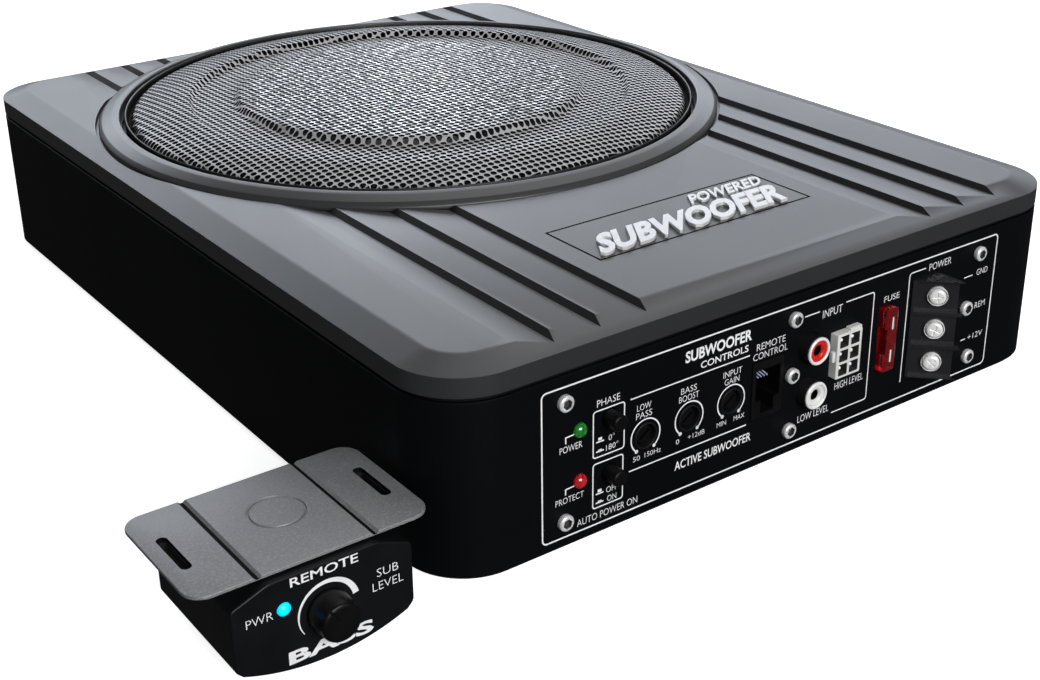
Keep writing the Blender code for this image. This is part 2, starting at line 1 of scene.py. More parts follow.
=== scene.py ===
"""Looks of the powered under-seat subwoofer and its wired level remote.

Lengths are written in millimetres and turned into metres when a mesh is made. Every new piece has its
vertices in the shared frame and its object at the origin: +X runs right along the control wall, +Y goes to
the back and +Z up.
"""

from math import asin, cos, hypot, pi, radians, sin, sqrt

import bmesh
import bpy
from mathutils import Matrix, Vector


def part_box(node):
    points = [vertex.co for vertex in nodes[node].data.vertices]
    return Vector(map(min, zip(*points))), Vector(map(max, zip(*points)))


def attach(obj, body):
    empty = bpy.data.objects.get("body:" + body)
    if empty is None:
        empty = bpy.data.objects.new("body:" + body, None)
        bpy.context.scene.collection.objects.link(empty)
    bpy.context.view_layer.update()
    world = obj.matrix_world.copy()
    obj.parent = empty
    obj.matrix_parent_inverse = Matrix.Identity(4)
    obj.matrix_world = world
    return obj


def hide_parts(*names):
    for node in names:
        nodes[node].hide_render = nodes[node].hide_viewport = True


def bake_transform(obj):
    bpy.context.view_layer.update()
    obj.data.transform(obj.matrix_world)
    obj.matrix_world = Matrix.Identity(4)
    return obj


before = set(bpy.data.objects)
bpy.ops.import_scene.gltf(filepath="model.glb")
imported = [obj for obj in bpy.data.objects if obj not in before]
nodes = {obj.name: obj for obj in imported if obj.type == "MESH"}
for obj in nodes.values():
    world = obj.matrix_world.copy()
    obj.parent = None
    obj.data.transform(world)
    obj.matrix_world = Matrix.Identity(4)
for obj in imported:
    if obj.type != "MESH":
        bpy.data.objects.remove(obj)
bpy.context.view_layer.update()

MM = 0.001


def extent(node, axis):
    """Lowest and highest place of a CAD node along an axis, 0 to 2, in millimetres."""
    return tuple(round(corner[axis] / MM, 2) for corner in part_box(node))


def middle(node, axis):
    """Middle of a CAD node along an axis, in millimetres."""
    return round(sum(extent(node, axis)) / 2, 2)


def spot(node, from_x=0.0):
    """Middle of a CAD node as seen from the front: x from a given line, and height."""
    return round(middle(node, 0) - from_x, 2), middle(node, 2)


# Case
CASE_W, CASE_D = (2 * extent("lower_tub", axis)[1] for axis in (0, 1))
CORNER_R, WALL = 21.9, 2.5
FLOOR_Z, TUB_TOP_Z = extent("lower_tub", 2)
SKIRT_Z, TOP_Z = extent("top_cover", 2)
CREASE_Z, CHAMFER_IN, COVER_UNDER_Z = 64.3, 9.7, 63.9
FRONT = -CASE_D / 2
FEET, FOOT_HOLE_R = [f"foot_{number}" for number in range(1, 5)], 8.3
RIB_GROUPS = ((-99.0, (-86.0, -69.8, -53.2)), (53.0, (67.0, 83.3, 99.0)))  # crease, then the walls
RIB_DEPTH, RIB_RUN, RIB_OVER, RIB_CREST = 1.5, 2.0, 1.1, 0.04

# Driver
DRIVER_Y = middle("bezel_ring", 1)
RECESS_R, RECESS_Z, OPENING_R = 123.6, 65.1, 113.9
DOME = (  # radius and height along the grille
    (0, 73.8), (40, 73.6), (66, 73.2), (68.3, 73.0), (69.6, 71.0), (71, 70.7), (78, 70.4), (85, 70.2),
    (86.2, 70.5), (87.3, 72.2), (88.6, 72.4), (94, 72.1), (101, 70.9), (107, 69.6), (108.6, 69.1),
    (109.6, 68.0), (110.3, 66.4),
)
MESH_R, HIGHLIGHT_R, PITCH, HOLE_R, SHEET_T = 110.3, 64.0, 2.72, 1.2, 0.7
ROLL_MID, ROLL_Z, ROLL_R, ROLL_SKIN = 97.0, 62.8, 6.0, 0.8
WAVE_START, WAVE_RUN, WAVE_Z, WAVE_RISE, WAVE_SWING = 27.0, 30.5, 33.85, 0.9, 0.45

# Control wall: (x, z) places, heights outwards from its face
SCREWS = [spot(f"panel_screw_{number}") for number in range(1, 9)]
POTS = {name: spot(f"{name}_shaft") for name in ("low_pass", "bass_boost", "input_gain")}
BUTTONS = {name: spot(f"{name}_button") for name in ("phase", "auto_power")}
LEDS = {name: spot(f"led_{name}") for name in ("green", "red")}
PHONO = {name: spot(f"phono_{name}") for name in ("red", "white")}
ROUND_HOLES = (  # radius, sides, places
    (1.7, 24, SCREWS),
    (4.3, 40, POTS.values()),
    (2.9, 32, BUTTONS.values()),
    (2.6, 32, LEDS.values()),
    (4.85, 40, PHONO.values()),
)
CUT_BACK, CUT_FRONT, SQUARE_GAP = -4, 1.5, 0.25
JACK = (*extent("remote_jack", 0), *extent("remote_jack", 2))
JACK_MOUTH, JACK_NOTCH = (-14.7, -4.7, 25.0, 35.5), (-12.4, -7.0, 20.5, 25.5)
SOCKET = (17.6, 29.6, 23.2, 38.8)
SOCKET_CELLS = [(x, z) for x in (21.15, 26.05) for z in (26.1, 31.0, 35.9)]
FUSE = (*extent("fuse", 0), *extent("fuse", 2))
TERMINAL_X, TERMINAL_Z, TERMINAL_OUT = (53.8, 66.0), (12.1, 47.7), 11.8
CELLS_Z = [middle(f"terminal_screw_{number}", 2) for number in (1, 2, 3)]
CELL_X, CELL_OUT = 59.9, 6.0

# Remote: places from its own middle and front
REMOTE_X = middle("remote_housing", 0)
REMOTE_FRONT, REMOTE_BACK = extent("remote_housing", 1)
REMOTE_DEPTH, REMOTE_HALF, BELLY_R = REMOTE_BACK - REMOTE_FRONT, 26.3, 65.0
KNOB, REMOTE_LED = spot("remote_knob", REMOTE_X), spot("remote_led", REMOTE_X)
KNOB_R, KNOB_OUT = 6.2, 8.0
BRACKET_MID, SLOT_X = 24.7, 29.2

PRINT_OUT = 0.03  # printed lines and words stand this far out of their faces

OUTWARD = Matrix.Rotation(pi / 2, 4, "X")  # local x stays X, local y turns up, local z points to -Y
PANEL = Matrix.Translation((0, FRONT * MM, 0)) @ OUTWARD
REMOTE = Matrix.Translation((REMOTE_X * MM, REMOTE_FRONT * MM, 0)) @ OUTWARD
DRIVER = Matrix.Translation((0, DRIVER_Y * MM, 0))
HERE = Matrix.Identity(4)


def shift(x=0.0, y=0.0, z=0.0):
    """A move, given in millimetres."""
    return Matrix.Translation((x * MM, y * MM, z * MM))


def on_wall(x=0.0, z=0.0, out=0.0):
    """A place on the control wall, with local z pointing out of it."""
    return PANEL @ shift(x, z, out)


def turned(degrees):
    return Matrix.Rotation(radians(degrees), 4, "Z")


# ---------------------------------------------------------------- materials

GRAIN_DEPTH = 0.00012  # metres, at full grain


def tree_of(name):
    """A new material, its node tree and its Principled BSDF."""
    material = bpy.data.materials.new(name)
    material.use_nodes = True
    return material, material.node_tree, material.node_tree.nodes["Principled BSDF"]


def noise(tree, scale, detail=3.0, rough=0.55, stretch=(1, 1, 1)):
    """Noise in the object's own space, which is in metres."""
    place = tree.nodes.new("ShaderNodeTexCoord")
    mapping = tree.nodes.new("ShaderNodeMapping")
    mapping.inputs["Scale"].default_value = stretch
    texture = tree.nodes.new("ShaderNodeTexNoise")
    texture.inputs["Scale"].default_value = scale
    texture.inputs["Detail"].default_value = detail
    texture.inputs["Roughness"].default_value = rough
    tree.links.new(place.outputs["Object"], mapping.inputs["Vector"])
    tree.links.new(mapping.outputs["Vector"], texture.inputs["Vector"])
    return texture.outputs["Fac"]


def ramp(tree, source, stops):
    """A colour that follows (position, colour) stops."""
    node = tree.nodes.new("ShaderNodeValToRGB")
    first, last = node.color_ramp.elements
    first.position, first.color = stops[0][0], (*stops[0][1], 1)
    last.position, last.color = stops[-1][0], (*stops[-1][1], 1)
    for position, colour in stops[1:-1]:
        node.color_ramp.elements.new(position).color = (*colour, 1)
    tree.links.new(source, node.inputs["Fac"])
    return node.outputs["Color"]


def spread(tree, source, low, high, start=0.3, end=0.7):
    """A number from low to high as the source goes from start to end."""
    node = tree.nodes.new("ShaderNodeMapRange")
    node.inputs["From Min"].default_value, node.inputs["From Max"].default_value = start, end
    node.inputs["To Min"].default_value, node.inputs["To Max"].default_value = low, high
    tree.links.new(source, node.inputs["Value"])
    return node.outputs["Result"]


def finish(
    name, colour, rough, metal=0.0, spec=0.5, mottle=0.2, patch=60.0, swing=0.05, grain=0.0, grit=0.5,
    coat=0.0, glow=0.0, clear=0.0, stretch=(1, 1, 1),
):
    """A base colour and a roughness that drift together, and a fine grain in the normal.

    mottle is how far the colour drifts, swing how far the roughness does, and patch how many patches a metre
    holds. grit is the grain's size in millimetres.
    """
    material, tree, bsdf = tree_of(name)
    drift = noise(tree, patch, 4.0, stretch=stretch)
    pale = tuple(min(1.0, c * (1 + mottle)) for c in colour)
    dark = tuple(c * (1 - mottle) for c in colour)
    tree.links.new(ramp(tree, drift, ((0.3, dark), (0.5, colour), (0.7, pale))), bsdf.inputs["Base Color"])
    rough_drift = spread(tree, drift, max(0.02, rough - swing), min(1.0, rough + swing))
    tree.links.new(rough_drift, bsdf.inputs["Roughness"])
    bsdf.inputs["Metallic"].default_value = metal
    bsdf.inputs["Specular IOR Level"].default_value = spec
    if grain:
        bump = tree.nodes.new("ShaderNodeBump")
        bump.inputs["Strength"].default_value = min(1.0, grain)
        bump.inputs["Distance"].default_value = GRAIN_DEPTH * grain
        tree.links.new(noise(tree, 1000.0 / grit, 2.0, stretch=stretch), bump.inputs["Height"])
        tree.links.new(bump.outputs["Normal"], bsdf.inputs["Normal"])
    if coat:
        bsdf.inputs["Coat Weight"].default_value = coat
        bsdf.inputs["Coat Roughness"].default_value = 0.12
    if glow:
        bsdf.inputs["Emission Color"].default_value = (*colour, 1)
        bsdf.inputs["Emission Strength"].default_value = glow
    if clear:
        bsdf.inputs["Transmission Weight"].default_value = clear
    return material


COVER = finish(
    "cover_satin", (0.022, 0.0225, 0.0245), 0.4, spec=0.62, mottle=0.1, patch=9, swing=0.03, grain=0.35,
    grit=0.35,
)
CASE = finish(
    "case_black", (0.0019, 0.0022, 0.0030), 0.5, spec=0.09, patch=12, swing=0.05, grain=0.3, grit=0.4,
)
BEZEL = finish(
    "bezel_satin", (0.030, 0.0305, 0.032), 0.38, spec=0.65, mottle=0.08, patch=12, swing=0.03, grain=0.2,
    grit=0.3,
)
MESH = finish(
    "grille_coat", (0.42, 0.422, 0.43), 0.42, metal=0.25, spec=0.3, mottle=0.15, patch=70, swing=0.06,
    grain=0.3, grit=0.3,
)
RUBBER = finish("soft_rubber", (0.010, 0.010, 0.011), 0.75, spec=0.12, grain=0.6, grit=0.4)
PLASTIC = finish("moulded_black", (0.008, 0.008, 0.009), 0.36, spec=0.42, patch=80, grain=0.2, grit=0.3)
SHAFT = finish("shaft_black", (0.0028, 0.0028, 0.0032), 0.42, spec=0.18, patch=120, grain=0.4, grit=0.25)
STEEL = finish(
    "bright_steel", (0.78, 0.78, 0.78), 0.28, metal=0.35, patch=300, swing=0.08, grain=0.25, grit=0.2,
)
# painted shade: dark grey for the screws' hex sockets and the socket's cells
RECESS_SHADE_GREY = finish("recess_painted_shade_grey", (0.05, 0.05, 0.052), 0.5, metal=0.3, patch=300, grain=0.2, grit=0.2)
NICKEL = finish(
    "nickel_plate", (0.93, 0.93, 0.925), 0.24, metal=0.2, mottle=0.08, patch=260, swing=0.05, grain=0.12,
    grit=0.3,
)
BADGE = finish(
    "badge_silver", (0.66, 0.66, 0.665), 0.38, metal=0.3, mottle=0.1, patch=160, swing=0.08, grain=0.4,
    grit=0.2,
)
PAPER = finish(
    "cone_paper", (0.02, 0.02, 0.022), 0.75, spec=0.15, mottle=0.45, patch=110, swing=0.12, grain=1.0,
    grit=0.9,
)
CAP = finish(
    "cap_sheen", (0.035, 0.035, 0.038), 0.45, spec=0.3, mottle=0.5, patch=140, swing=0.15, grain=1.0,
    grit=1.2,
)
COPPER = finish(
    "copper_wire", (0.72, 0.36, 0.2), 0.35, metal=1.0, mottle=0.12, patch=45, grain=0.6, grit=0.2,
    stretch=(1, 1, 6),
)
CLOTH = finish("spider_cloth", (0.3, 0.22, 0.09), 0.9, spec=0.2, mottle=0.3, patch=200, grain=1.0, grit=0.5)
FERRITE = finish("ferrite_grey", (0.05, 0.05, 0.055), 0.7, mottle=0.3, patch=90, grain=0.7, grit=0.5)
BOARD = finish("board_green", (0.012, 0.09, 0.035), 0.4, mottle=0.35, patch=160, grain=0.4, grit=1.2)
ALLOY = finish(
    "cast_alloy", (0.45, 0.45, 0.46), 0.42, metal=1.0, mottle=0.12, grain=0.5, grit=0.3, stretch=(1, 8, 1),
)
LEAD = finish("lead_sleeve", (0.45, 0.012, 0.01), 0.4, mottle=0.12, patch=80, grain=0.2)
BLOCK = finish("terminal_black", (0.0135, 0.0135, 0.0155), 0.28, spec=0.6, mottle=0.15, swing=0.04)
WHITE = finish(
    "socket_white", (0.66, 0.66, 0.65), 0.36, spec=0.5, mottle=0.06, patch=120, grain=0.25, grit=0.5,
)
PHONO_RED = finish(
    "phono_red", (0.62, 0.014, 0.012), 0.3, mottle=0.1, patch=150, grain=0.2, grit=0.4, coat=0.3,
)
PHONO_WHITE = finish(
    "phono_white", (0.74, 0.74, 0.72), 0.32, mottle=0.05, patch=150, grain=0.2, grit=0.4, coat=0.3,
)
# the faint glow is painted light; a fuse is no lamp
FUSE_RED = finish(
    "fuse_red", (0.40, 0.003, 0.006), 0.12, clear=0.8, mottle=0.45, patch=240, grain=0.15, grit=1.0, coat=1.0,
    glow=0.02,
)
# dark gasket rubber, its own colour, and painted shade for the phono bores and the socket's cell floors
GASKET_AND_SHADE_DARK = finish("gasket_and_painted_shade_dark", (0.0022, 0.0022, 0.0025), 0.6, spec=0.15, patch=80, grain=0.2)
# the strong fine mottle in the lenses is painted glints
GREEN_LIT = finish(
    "lens_green", (0.01, 0.16, 0.02), 0.1, mottle=0.8, patch=1100, coat=1.0, glow=0.2, grain=1.0, grit=1.2,
)
RED_LIT = finish(
    "lens_red", (0.36, 0.008, 0.012), 0.1, mottle=0.8, patch=1100, coat=1.0, glow=0.2, grain=1.0, grit=1.2,
)
BLUE_LIT = finish("lens_blue", (0.0, 0.55, 1.0), 0.3, mottle=0.1, patch=500, glow=0.9)
PRINT = finish("print_white", (0.80, 0.80, 0.81), 0.45, mottle=0.06, patch=300, grain=0.3, grit=0.2)
FRAME_PRINT = finish("print_black", (0.003, 0.003, 0.003), 0.9, spec=0.02, mottle=0.1, patch=100, grain=0.3)
# painted shade: a near-black copy of the cover paint for the steep rib walls, which only shade makes dark
RIB_WALL_PAINTED_SHADE = finish("rib_wall_painted_shade", (0.006, 0.006, 0.007), 0.6, spec=0.12, grain=0.3)
# painted shade: near-black for the grille's hole walls and edge cells, the skirt under its rim, and the
# bracket's channel floors and slot walls
PAINTED_SHADE_BLACK = finish("painted_shade_black", (0.003, 0.003, 0.003), 0.7, spec=0.05, grain=0.3)
REMOTE_BLACK = finish("remote_black", (0.0042, 0.0046, 0.0056), 0.45, spec=0.16, grain=0.5, grit=0.25)
KNOB_BLACK = finish("knob_rubber", (0.0025, 0.0025, 0.0028), 0.36, spec=0.22, patch=140, grain=0.6, grit=0.25)
CONTACT = finish("contact_gold", (0.60, 0.68, 0.95), 0.3, metal=0.3, mottle=0.1, patch=300, grain=0.2)


def crinkle_coat():
    """Powder coat of the remote's bracket: a crinkled grey-black paint with small pale flecks."""
    material, tree, bsdf = tree_of("bracket_coat")
    fleck = noise(tree, 1500.0, 2.0, 0.6)
    stops = ((0.3, (0.15, 0.152, 0.162)), (0.55, (0.19, 0.192, 0.205)), (0.72, (0.27, 0.27, 0.283)))
    tree.links.new(ramp(tree, fleck, stops), bsdf.inputs["Base Color"])
    tree.links.new(spread(tree, fleck, 0.36, 0.58), bsdf.inputs["Roughness"])
    bsdf.inputs["Specular IOR Level"].default_value = 0.8
    bump = tree.nodes.new("ShaderNodeBump")
    bump.inputs["Strength"].default_value = 0.6
    bump.inputs["Distance"].default_value = 0.0001
    tree.links.new(fleck, bump.inputs["Height"])
    tree.links.new(bump.outputs["Normal"], bsdf.inputs["Normal"])
    return material


BRACKET = crinkle_coat()

# ---------------------------------------------------------------- outlines and meshes


def rectangle(x0, x1, y0, y1):
    return [(x0, y0), (x1, y0), (x1, y1), (x0, y1)]


def rounded(half_x, half_y, radius, steps=8, at=(0, 0)):
    """A rectangle's outline with round corners."""
    corners = ((1, 1, 0), (-1, 1, 90), (-1, -1, 180), (1, -1, 270))
    return [
        (
            at[0] + sx * (half_x - radius) + radius * cos(radians(start + 90 * i / steps)),
            at[1] + sy * (half_y - radius) + radius * sin(radians(start + 90 * i / steps)),
        )
        for sx, sy, start in corners
        for i in range(steps + 1)
    ]


def soften(points, reach, steps=3, closed=True):
    """Rounds the corners of an outline over the given reach on both sides. Points on the axis stay sharp."""
    result = []
    for i, point in enumerate(points):
        if point[0] == 0 or (not closed and i in (0, len(points) - 1)):
            result.append(point)
            continue
        here, before, after = Vector(point), Vector(points[i - 1]), Vector(points[(i + 1) % len(points)])
        a, b = before - here, after - here
        r = min(reach, a.length * 0.45, b.length * 0.45)
        start, end = here + a.normalized() * r, here + b.normalized() * r
        for k in range(steps + 1):
            t = k / steps
            result.append(tuple(start * (1 - t) ** 2 + here * (2 * t * (1 - t)) + end * t * t))
    return result


def lathe(profile, segments=48, flutes=0, flute_depth=0.0, flute_from=1e9):
    """A closed outline of (radius, height) points turned about Z, with optional flutes beyond a radius."""
    bm = bmesh.new()
    rings = []
    for r, z in profile:
        ring = []
        for i in range(segments if r else 1):
            a = 2 * pi * i / segments
            radius = r - (flute_depth * (0.5 + 0.5 * cos(flutes * a)) if flutes and r > flute_from else 0)
            ring.append(bm.verts.new((radius * cos(a) * MM, radius * sin(a) * MM, z * MM)))
        rings.append(ring)
    for one, two in zip(rings, rings[1:] + rings[:1]):
        if len(one) == len(two) == 1:
            continue
        for i in range(segments):
            j = (i + 1) % segments
            corners = (one[i % len(one)], one[j % len(one)], two[j % len(two)], two[i % len(two)])
            bm.faces.new(dict.fromkeys(corners))
    bmesh.ops.recalc_face_normals(bm, faces=bm.faces)
    return bm


def wedge(profile, heading, half, steps=6):
    """The part of a turned shape up to half to each side of a heading, in degrees, closed at both ends."""
    bm = bmesh.new()
    rows = []
    for i in range(steps + 1):
        a = radians(heading - half + 2 * half * i / steps)
        rows.append([bm.verts.new((r * cos(a) * MM, r * sin(a) * MM, z * MM)) for r, z in profile])
    for one, two in zip(rows, rows[1:]):
        for i in range(len(profile)):
            j = (i + 1) % len(profile)
            bm.faces.new((one[i], one[j], two[j], two[i]))
    bm.faces.new(rows[0])
    bm.faces.new(rows[-1])
    bmesh.ops.recalc_face_normals(bm, faces=bm.faces)
    return bm


def rod(radius, low, high, segments=32):
    return lathe([(0, low), (radius, low), (radius, high), (0, high)], segments)


def loft(sections):
    """A closed shape through (outline, height) sections with equal numbers of points."""
    bm = bmesh.new()
    rows = [[bm.verts.new((x * MM, y * MM, z * MM)) for x, y in outline] for outline, z in sections]
    for one, two in zip(rows, rows[1:]):
        for i in range(len(one)):
            j = (i + 1) % len(one)
            bm.faces.new((one[i], one[j], two[j], two[i]))
    bm.faces.new(rows[0])
    bm.faces.new(rows[-1])
    bmesh.ops.recalc_face_normals(bm, faces=bm.faces)
    return bm


def prism(outline, low, high):
    return loft([(outline, low), (outline, high)])


def block(x0, x1, y0, y1, z0, z1):
    return prism(rectangle(x0, x1, y0, y1), z0, z1)


def soft_block(x0, x1, y0, y1, z0, z1, corner=0.8, edge=0.35):
    """A block with rounded corners in plan and a rounded upper edge."""
    hx, hy, mid = (x1 - x0) / 2, (y1 - y0) / 2, ((x0 + x1) / 2, (y0 + y1) / 2)
    bend = [(edge * inward, z1 - edge * below) for inward, below in ((0, 1), (0.12, 0.6), (0.4, 0.2), (1, 0))]
    return loft([(rounded(hx - i, hy - i, max(0.05, corner - i), 5, mid), z) for i, z in [(0, z0), *bend]])


def moved(bm, matrix):
    """The same shape, after a move."""
    bm.transform(matrix)
    return bm


def together(*parts):
    """One mesh of several, which are used up."""
    whole = bmesh.new()
    for part in parts:
        mesh = bpy.data.meshes.new("shape")
        part.to_mesh(mesh)
        part.free()
        whole.from_mesh(mesh)
        bpy.data.meshes.remove(mesh)
    return whole


def object_of(name, bm):
    mesh = bpy.data.meshes.new(name)
    bm.to_mesh(mesh)
    bm.free()
    obj = bpy.data.objects.new(name, mesh)
    bpy.context.scene.collection.objects.link(obj)
    return obj


def repeated(make, places):
    """One mesh of a new shape from make at each place."""
    return together(*(moved(make(), place) for place in places))


def discard(obj):
    mesh = obj.data
    bpy.data.objects.remove(obj)
    bpy.data.meshes.remove(mesh)


def carved(bm, *cutters, joined=()):
    """The shape less each cutter in turn, and then with each joined shape added."""
    obj = object_of("carving", bm)
    for operation, shapes in (("DIFFERENCE", cutters), ("UNION", joined)):
        for shape in shapes:
            tool = object_of("tool", shape)
            modifier = obj.modifiers.new("cut", "BOOLEAN")
            modifier.operation, modifier.solver, modifier.object = operation, "EXACT", tool
            evaluated = obj.evaluated_get(bpy.context.evaluated_depsgraph_get())
            before, obj.data = obj.data, bpy.data.meshes.new_from_object(evaluated)
            obj.modifiers.clear()
            bpy.data.meshes.remove(before)
            discard(tool)
    result = bmesh.new()
    result.from_mesh(obj.data)
    discard(obj)
    return result


def add(
    name, bm, material, body="base", stands_for=None, at=HERE, sharp=35, weighted=False,
    bend=None,
):
    """Puts a shape in the scene: it rides on a body, or, when bend is given, stays where it is with its move
    baked in, and may stand for a CAD node.
    """
    bm.transform(at)
    obj = object_of(name, bm)
    obj.data.shade_smooth()
    obj.data.set_sharp_from_angle(angle=radians(sharp))
    obj.data.materials.append(material)
    if weighted:
        modifier = obj.modifiers.new("normals", "WEIGHTED_NORMAL")
        modifier.keep_sharp = True
    if bend:
        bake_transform(obj)
    else:
        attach(obj, body)
    if stands_for:
        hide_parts(stands_for)
    return obj


def paint(material, *names):
    """Gives CAD nodes that are shown as they are a finer material."""
    for name in names:
        for slot in nodes[name].material_slots:
            slot.material = material


# ---------------------------------------------------------------- flat print


def ribbon(points, width, closed=False):
    """A flat line along points in the x, y plane. Its width is one number, or one for each point."""
    bm = bmesh.new()
    count = len(points)
    widths = width if isinstance(width, (list, tuple)) else [width] * count
    pairs = []
    for i, point in enumerate(points):
        here = Vector(point)
        before = Vector(points[i - 1]) if i or closed else None
        after = Vector(points[(i + 1) % count]) if i < count - 1 or closed else None
        one = (here - before).normalized() if before is not None else (after - here).normalized()
        two = (after - here).normalized() if after is not None else one
        normal = Vector((-(one.y + two.y), one.x + two.x)).normalized()
        reach = widths[i] / 2 / max(0.35, normal.dot(Vector((-one.y, one.x))))
        pairs.append([bm.verts.new(((here + normal * s * reach) * MM).to_3d()) for s in (-1, 1)])
    for i in range(count if closed else count - 1):
        a, b = pairs[i], pairs[(i + 1) % count]
        bm.faces.new((a[0], b[0], b[1], a[1]))
    return bm


def arc(centre, radius, start, end, steps=40):
    """Points along a circle between two angles in degrees."""
    angles = [radians(start + (end - start) * i / steps) for i in range(steps + 1)]
    return [(centre[0] + radius * cos(a), centre[1] + radius * sin(a)) for a in angles]


def disc(centre, radius, steps=16):
    bm = bmesh.new()
    bm.faces.new([bm.verts.new((x * MM, y * MM, 0)) for x, y in arc(centre, radius, 0, 360, steps)[:-1]])
    return bm


def lettering(text, x0, x1, y0, y1, weight=0.0, lean=0.0, depth=0.0):
    """A word that fills the rectangle, flat in the x, y plane or raised by depth."""
    curve = bpy.data.curves.new("word", "FONT")
    curve.body, curve.size, curve.offset = text, 1.0, weight
    curve.resolution_u = 3
    if depth:
        curve.extrude, curve.bevel_depth, curve.bevel_resolution = 0.06, 0.012, 1
    obj = bpy.data.objects.new("word", curve)
    bpy.context.scene.collection.objects.link(obj)
    mesh = bpy.data.meshes.new_from_object(obj.evaluated_get(bpy.context.evaluated_depsgraph_get()))
    bm = bmesh.new()
    bm.from_mesh(mesh)
    bpy.data.objects.remove(obj)
    bpy.data.meshes.remove(mesh)
    xs, ys, zs = zip(*(v.co for v in bm.verts))
    fx, fy = (x1 - x0) / (max(xs) - min(xs)), (y1 - y0) / (max(ys) - min(ys))
    fz = depth / (max(zs) - min(zs)) if depth else 0
    for v in bm.verts:
        rise = (v.co.y - min(ys)) * fy
        along = x0 + (v.co.x - min(xs)) * fx + lean * rise
        v.co = (along * MM, (y0 + rise) * MM, (v.co.z - min(zs)) * fz * MM)
    return bm


# ---------------------------------------------------------------- case


def case_outline(inset, steps=14):
    return rounded(CASE_W / 2 - inset, CASE_D / 2 - inset, CORNER_R - inset, steps)


def shell(profile):
    """A loft of case outlines along (inset, height) points."""
    return loft([(case_outline(inset), z) for inset, z in profile])


def rib_teeth(crease, walls):
    """Teeth that slope down from the crease and rise steeply at each wall, closed above the cover."""
    above, low, high = TOP_Z + RIB_OVER, TOP_Z - RIB_DEPTH, TOP_Z - RIB_CREST
    outline = [(crease - (walls[0] - RIB_RUN - crease) * (above - TOP_Z) / RIB_DEPTH, above)]
    for x in walls[:-1]:
        outline += [(x - RIB_RUN, low), (x, high)]
    outline += [(walls[-1] - RIB_RUN, low), (walls[-1] + RIB_RUN * (above - TOP_Z) / RIB_DEPTH, above)]
    return prism(outline, FRONT - 5, -FRONT + 5)


top_edge = [(0, SKIRT_Z + 1), (0, CREASE_Z), (CHAMFER_IN, TOP_Z), (CHAMFER_IN + 4, TOP_Z)]
cover_edge = [(0.5, SKIRT_Z), (0.05, SKIRT_Z + 0.2), (0, SKIRT_Z + 0.5)]
cover_edge += soften(top_edge, 0.8, 4, closed=False)
mouth = [
    (0, 60), (OPENING_R, 60), (OPENING_R, RECESS_Z), (RECESS_R, RECESS_Z), (RECESS_R, 66.3),
    (RECESS_R + 0.25, 67.2), (RECESS_R + 0.25, 70), (0, 70),
]
cover = add(
    "cover_shell",
    carved(
        shell(cover_edge),
        prism(case_outline(WALL), SKIRT_Z - 2, COVER_UNDER_Z),
        moved(together(*(rib_teeth(*group) for group in RIB_GROUPS)), OUTWARD),
        moved(lathe(mouth, 192), DRIVER),
    ),
    COVER, stands_for="top_cover", sharp=20, weighted=True,
)
cover.data.materials.append(RIB_WALL_PAINTED_SHADE)
# the steep rib walls get the painted shade material
for face in cover.data.polygons:  # the steep walls of the ribs, above the driver's recess
    if face.normal.x < -0.4 and 0.3 < face.normal.z and face.center.z > (RECESS_Z + 0.1) * MM:
        face.material_index = 1

holes = [
    moved(rod(radius, CUT_BACK, CUT_FRONT, sides), shift(*place))
    for radius, sides, places in ROUND_HOLES
    for place in places
]
holes += [
    block(x0 - SQUARE_GAP, x1 + SQUARE_GAP, z0 - SQUARE_GAP, z1 + SQUARE_GAP, CUT_BACK, CUT_FRONT)
    for x0, x1, z0, z1 in (JACK, SOCKET, FUSE, (TERMINAL_X[0] + 0.7, TERMINAL_X[1], *TERMINAL_Z))
]
foot_places = [shift(middle(foot, 0), middle(foot, 1)) for foot in FEET]
tub_edge = soften([(1.5, FLOOR_Z), (0, FLOOR_Z + 1.5), (0, TUB_TOP_Z - 0.5)], 0.8, closed=False)
tub_edge += [(0.04, TUB_TOP_Z - 0.25), (0.3, TUB_TOP_Z)]
add(
    "tub_shell",
    carved(
        shell(tub_edge),
        prism(case_outline(WALL), FLOOR_Z + WALL, TUB_TOP_Z + 2),
        repeated(lambda: rod(FOOT_HOLE_R, -1, 2.3), foot_places),
        moved(together(*holes), PANEL),
    ),
    CASE, stands_for="lower_tub", weighted=True,
)
seal = carved(
    prism(case_outline(0.9), TUB_TOP_Z + 0.2, SKIRT_Z - 0.2),
    prism(case_outline(2.3), TUB_TOP_Z - 1, SKIRT_Z + 1),
)
add("seam_seal", seal, GASKET_AND_SHADE_DARK, stands_for="seam_gasket")
paint(RUBBER, *FEET)

# ---------------------------------------------------------------- bezel and grille

bezel = [
    (114.4, 65.4), (122.6, 65.4), (122.6, 66.7), (121.2, 68.2), (117.3, 69.5), (115.0, 69.8), (114.4, 69.4),
]
bezel = lathe(soften(bezel, 0.25, 3), 224)
add("bezel", bezel, BEZEL, stands_for="bezel_ring", at=DRIVER, sharp=50)

rim = [(111.7, 67.5), (111.75, 69.3), (112.1, 69.7), (112.45, 69.3), (112.5, 68.3), (112.3, 67.5)]
rim = lathe(soften(rim, 0.15), 224)
add("grille_rim", rim, PLASTIC, stands_for="grille", at=DRIVER, sharp=60)
skirt = [
    (109.0, 66.2), (111.3, 66.2), (111.6, 68.6), (112.45, 68.2),
    (112.5, 63.0), (111.1, 63.0), (111.1, 65.2), (109.0, 65.2),
]
# a black skirt of painted shade under the grille's rim
add("grille_skirt", lathe(skirt, 160), PAINTED_SHADE_BLACK, at=DRIVER)


def dome_height(r):
    """Height of the grille's upper face at a radius."""
    for (r0, z0), (r1, z1) in zip(DOME, DOME[1:]):
        if r <= r1:
            return z0 + (z1 - z0) * (r - r0) / (r1 - r0)
    return DOME[-1][1]


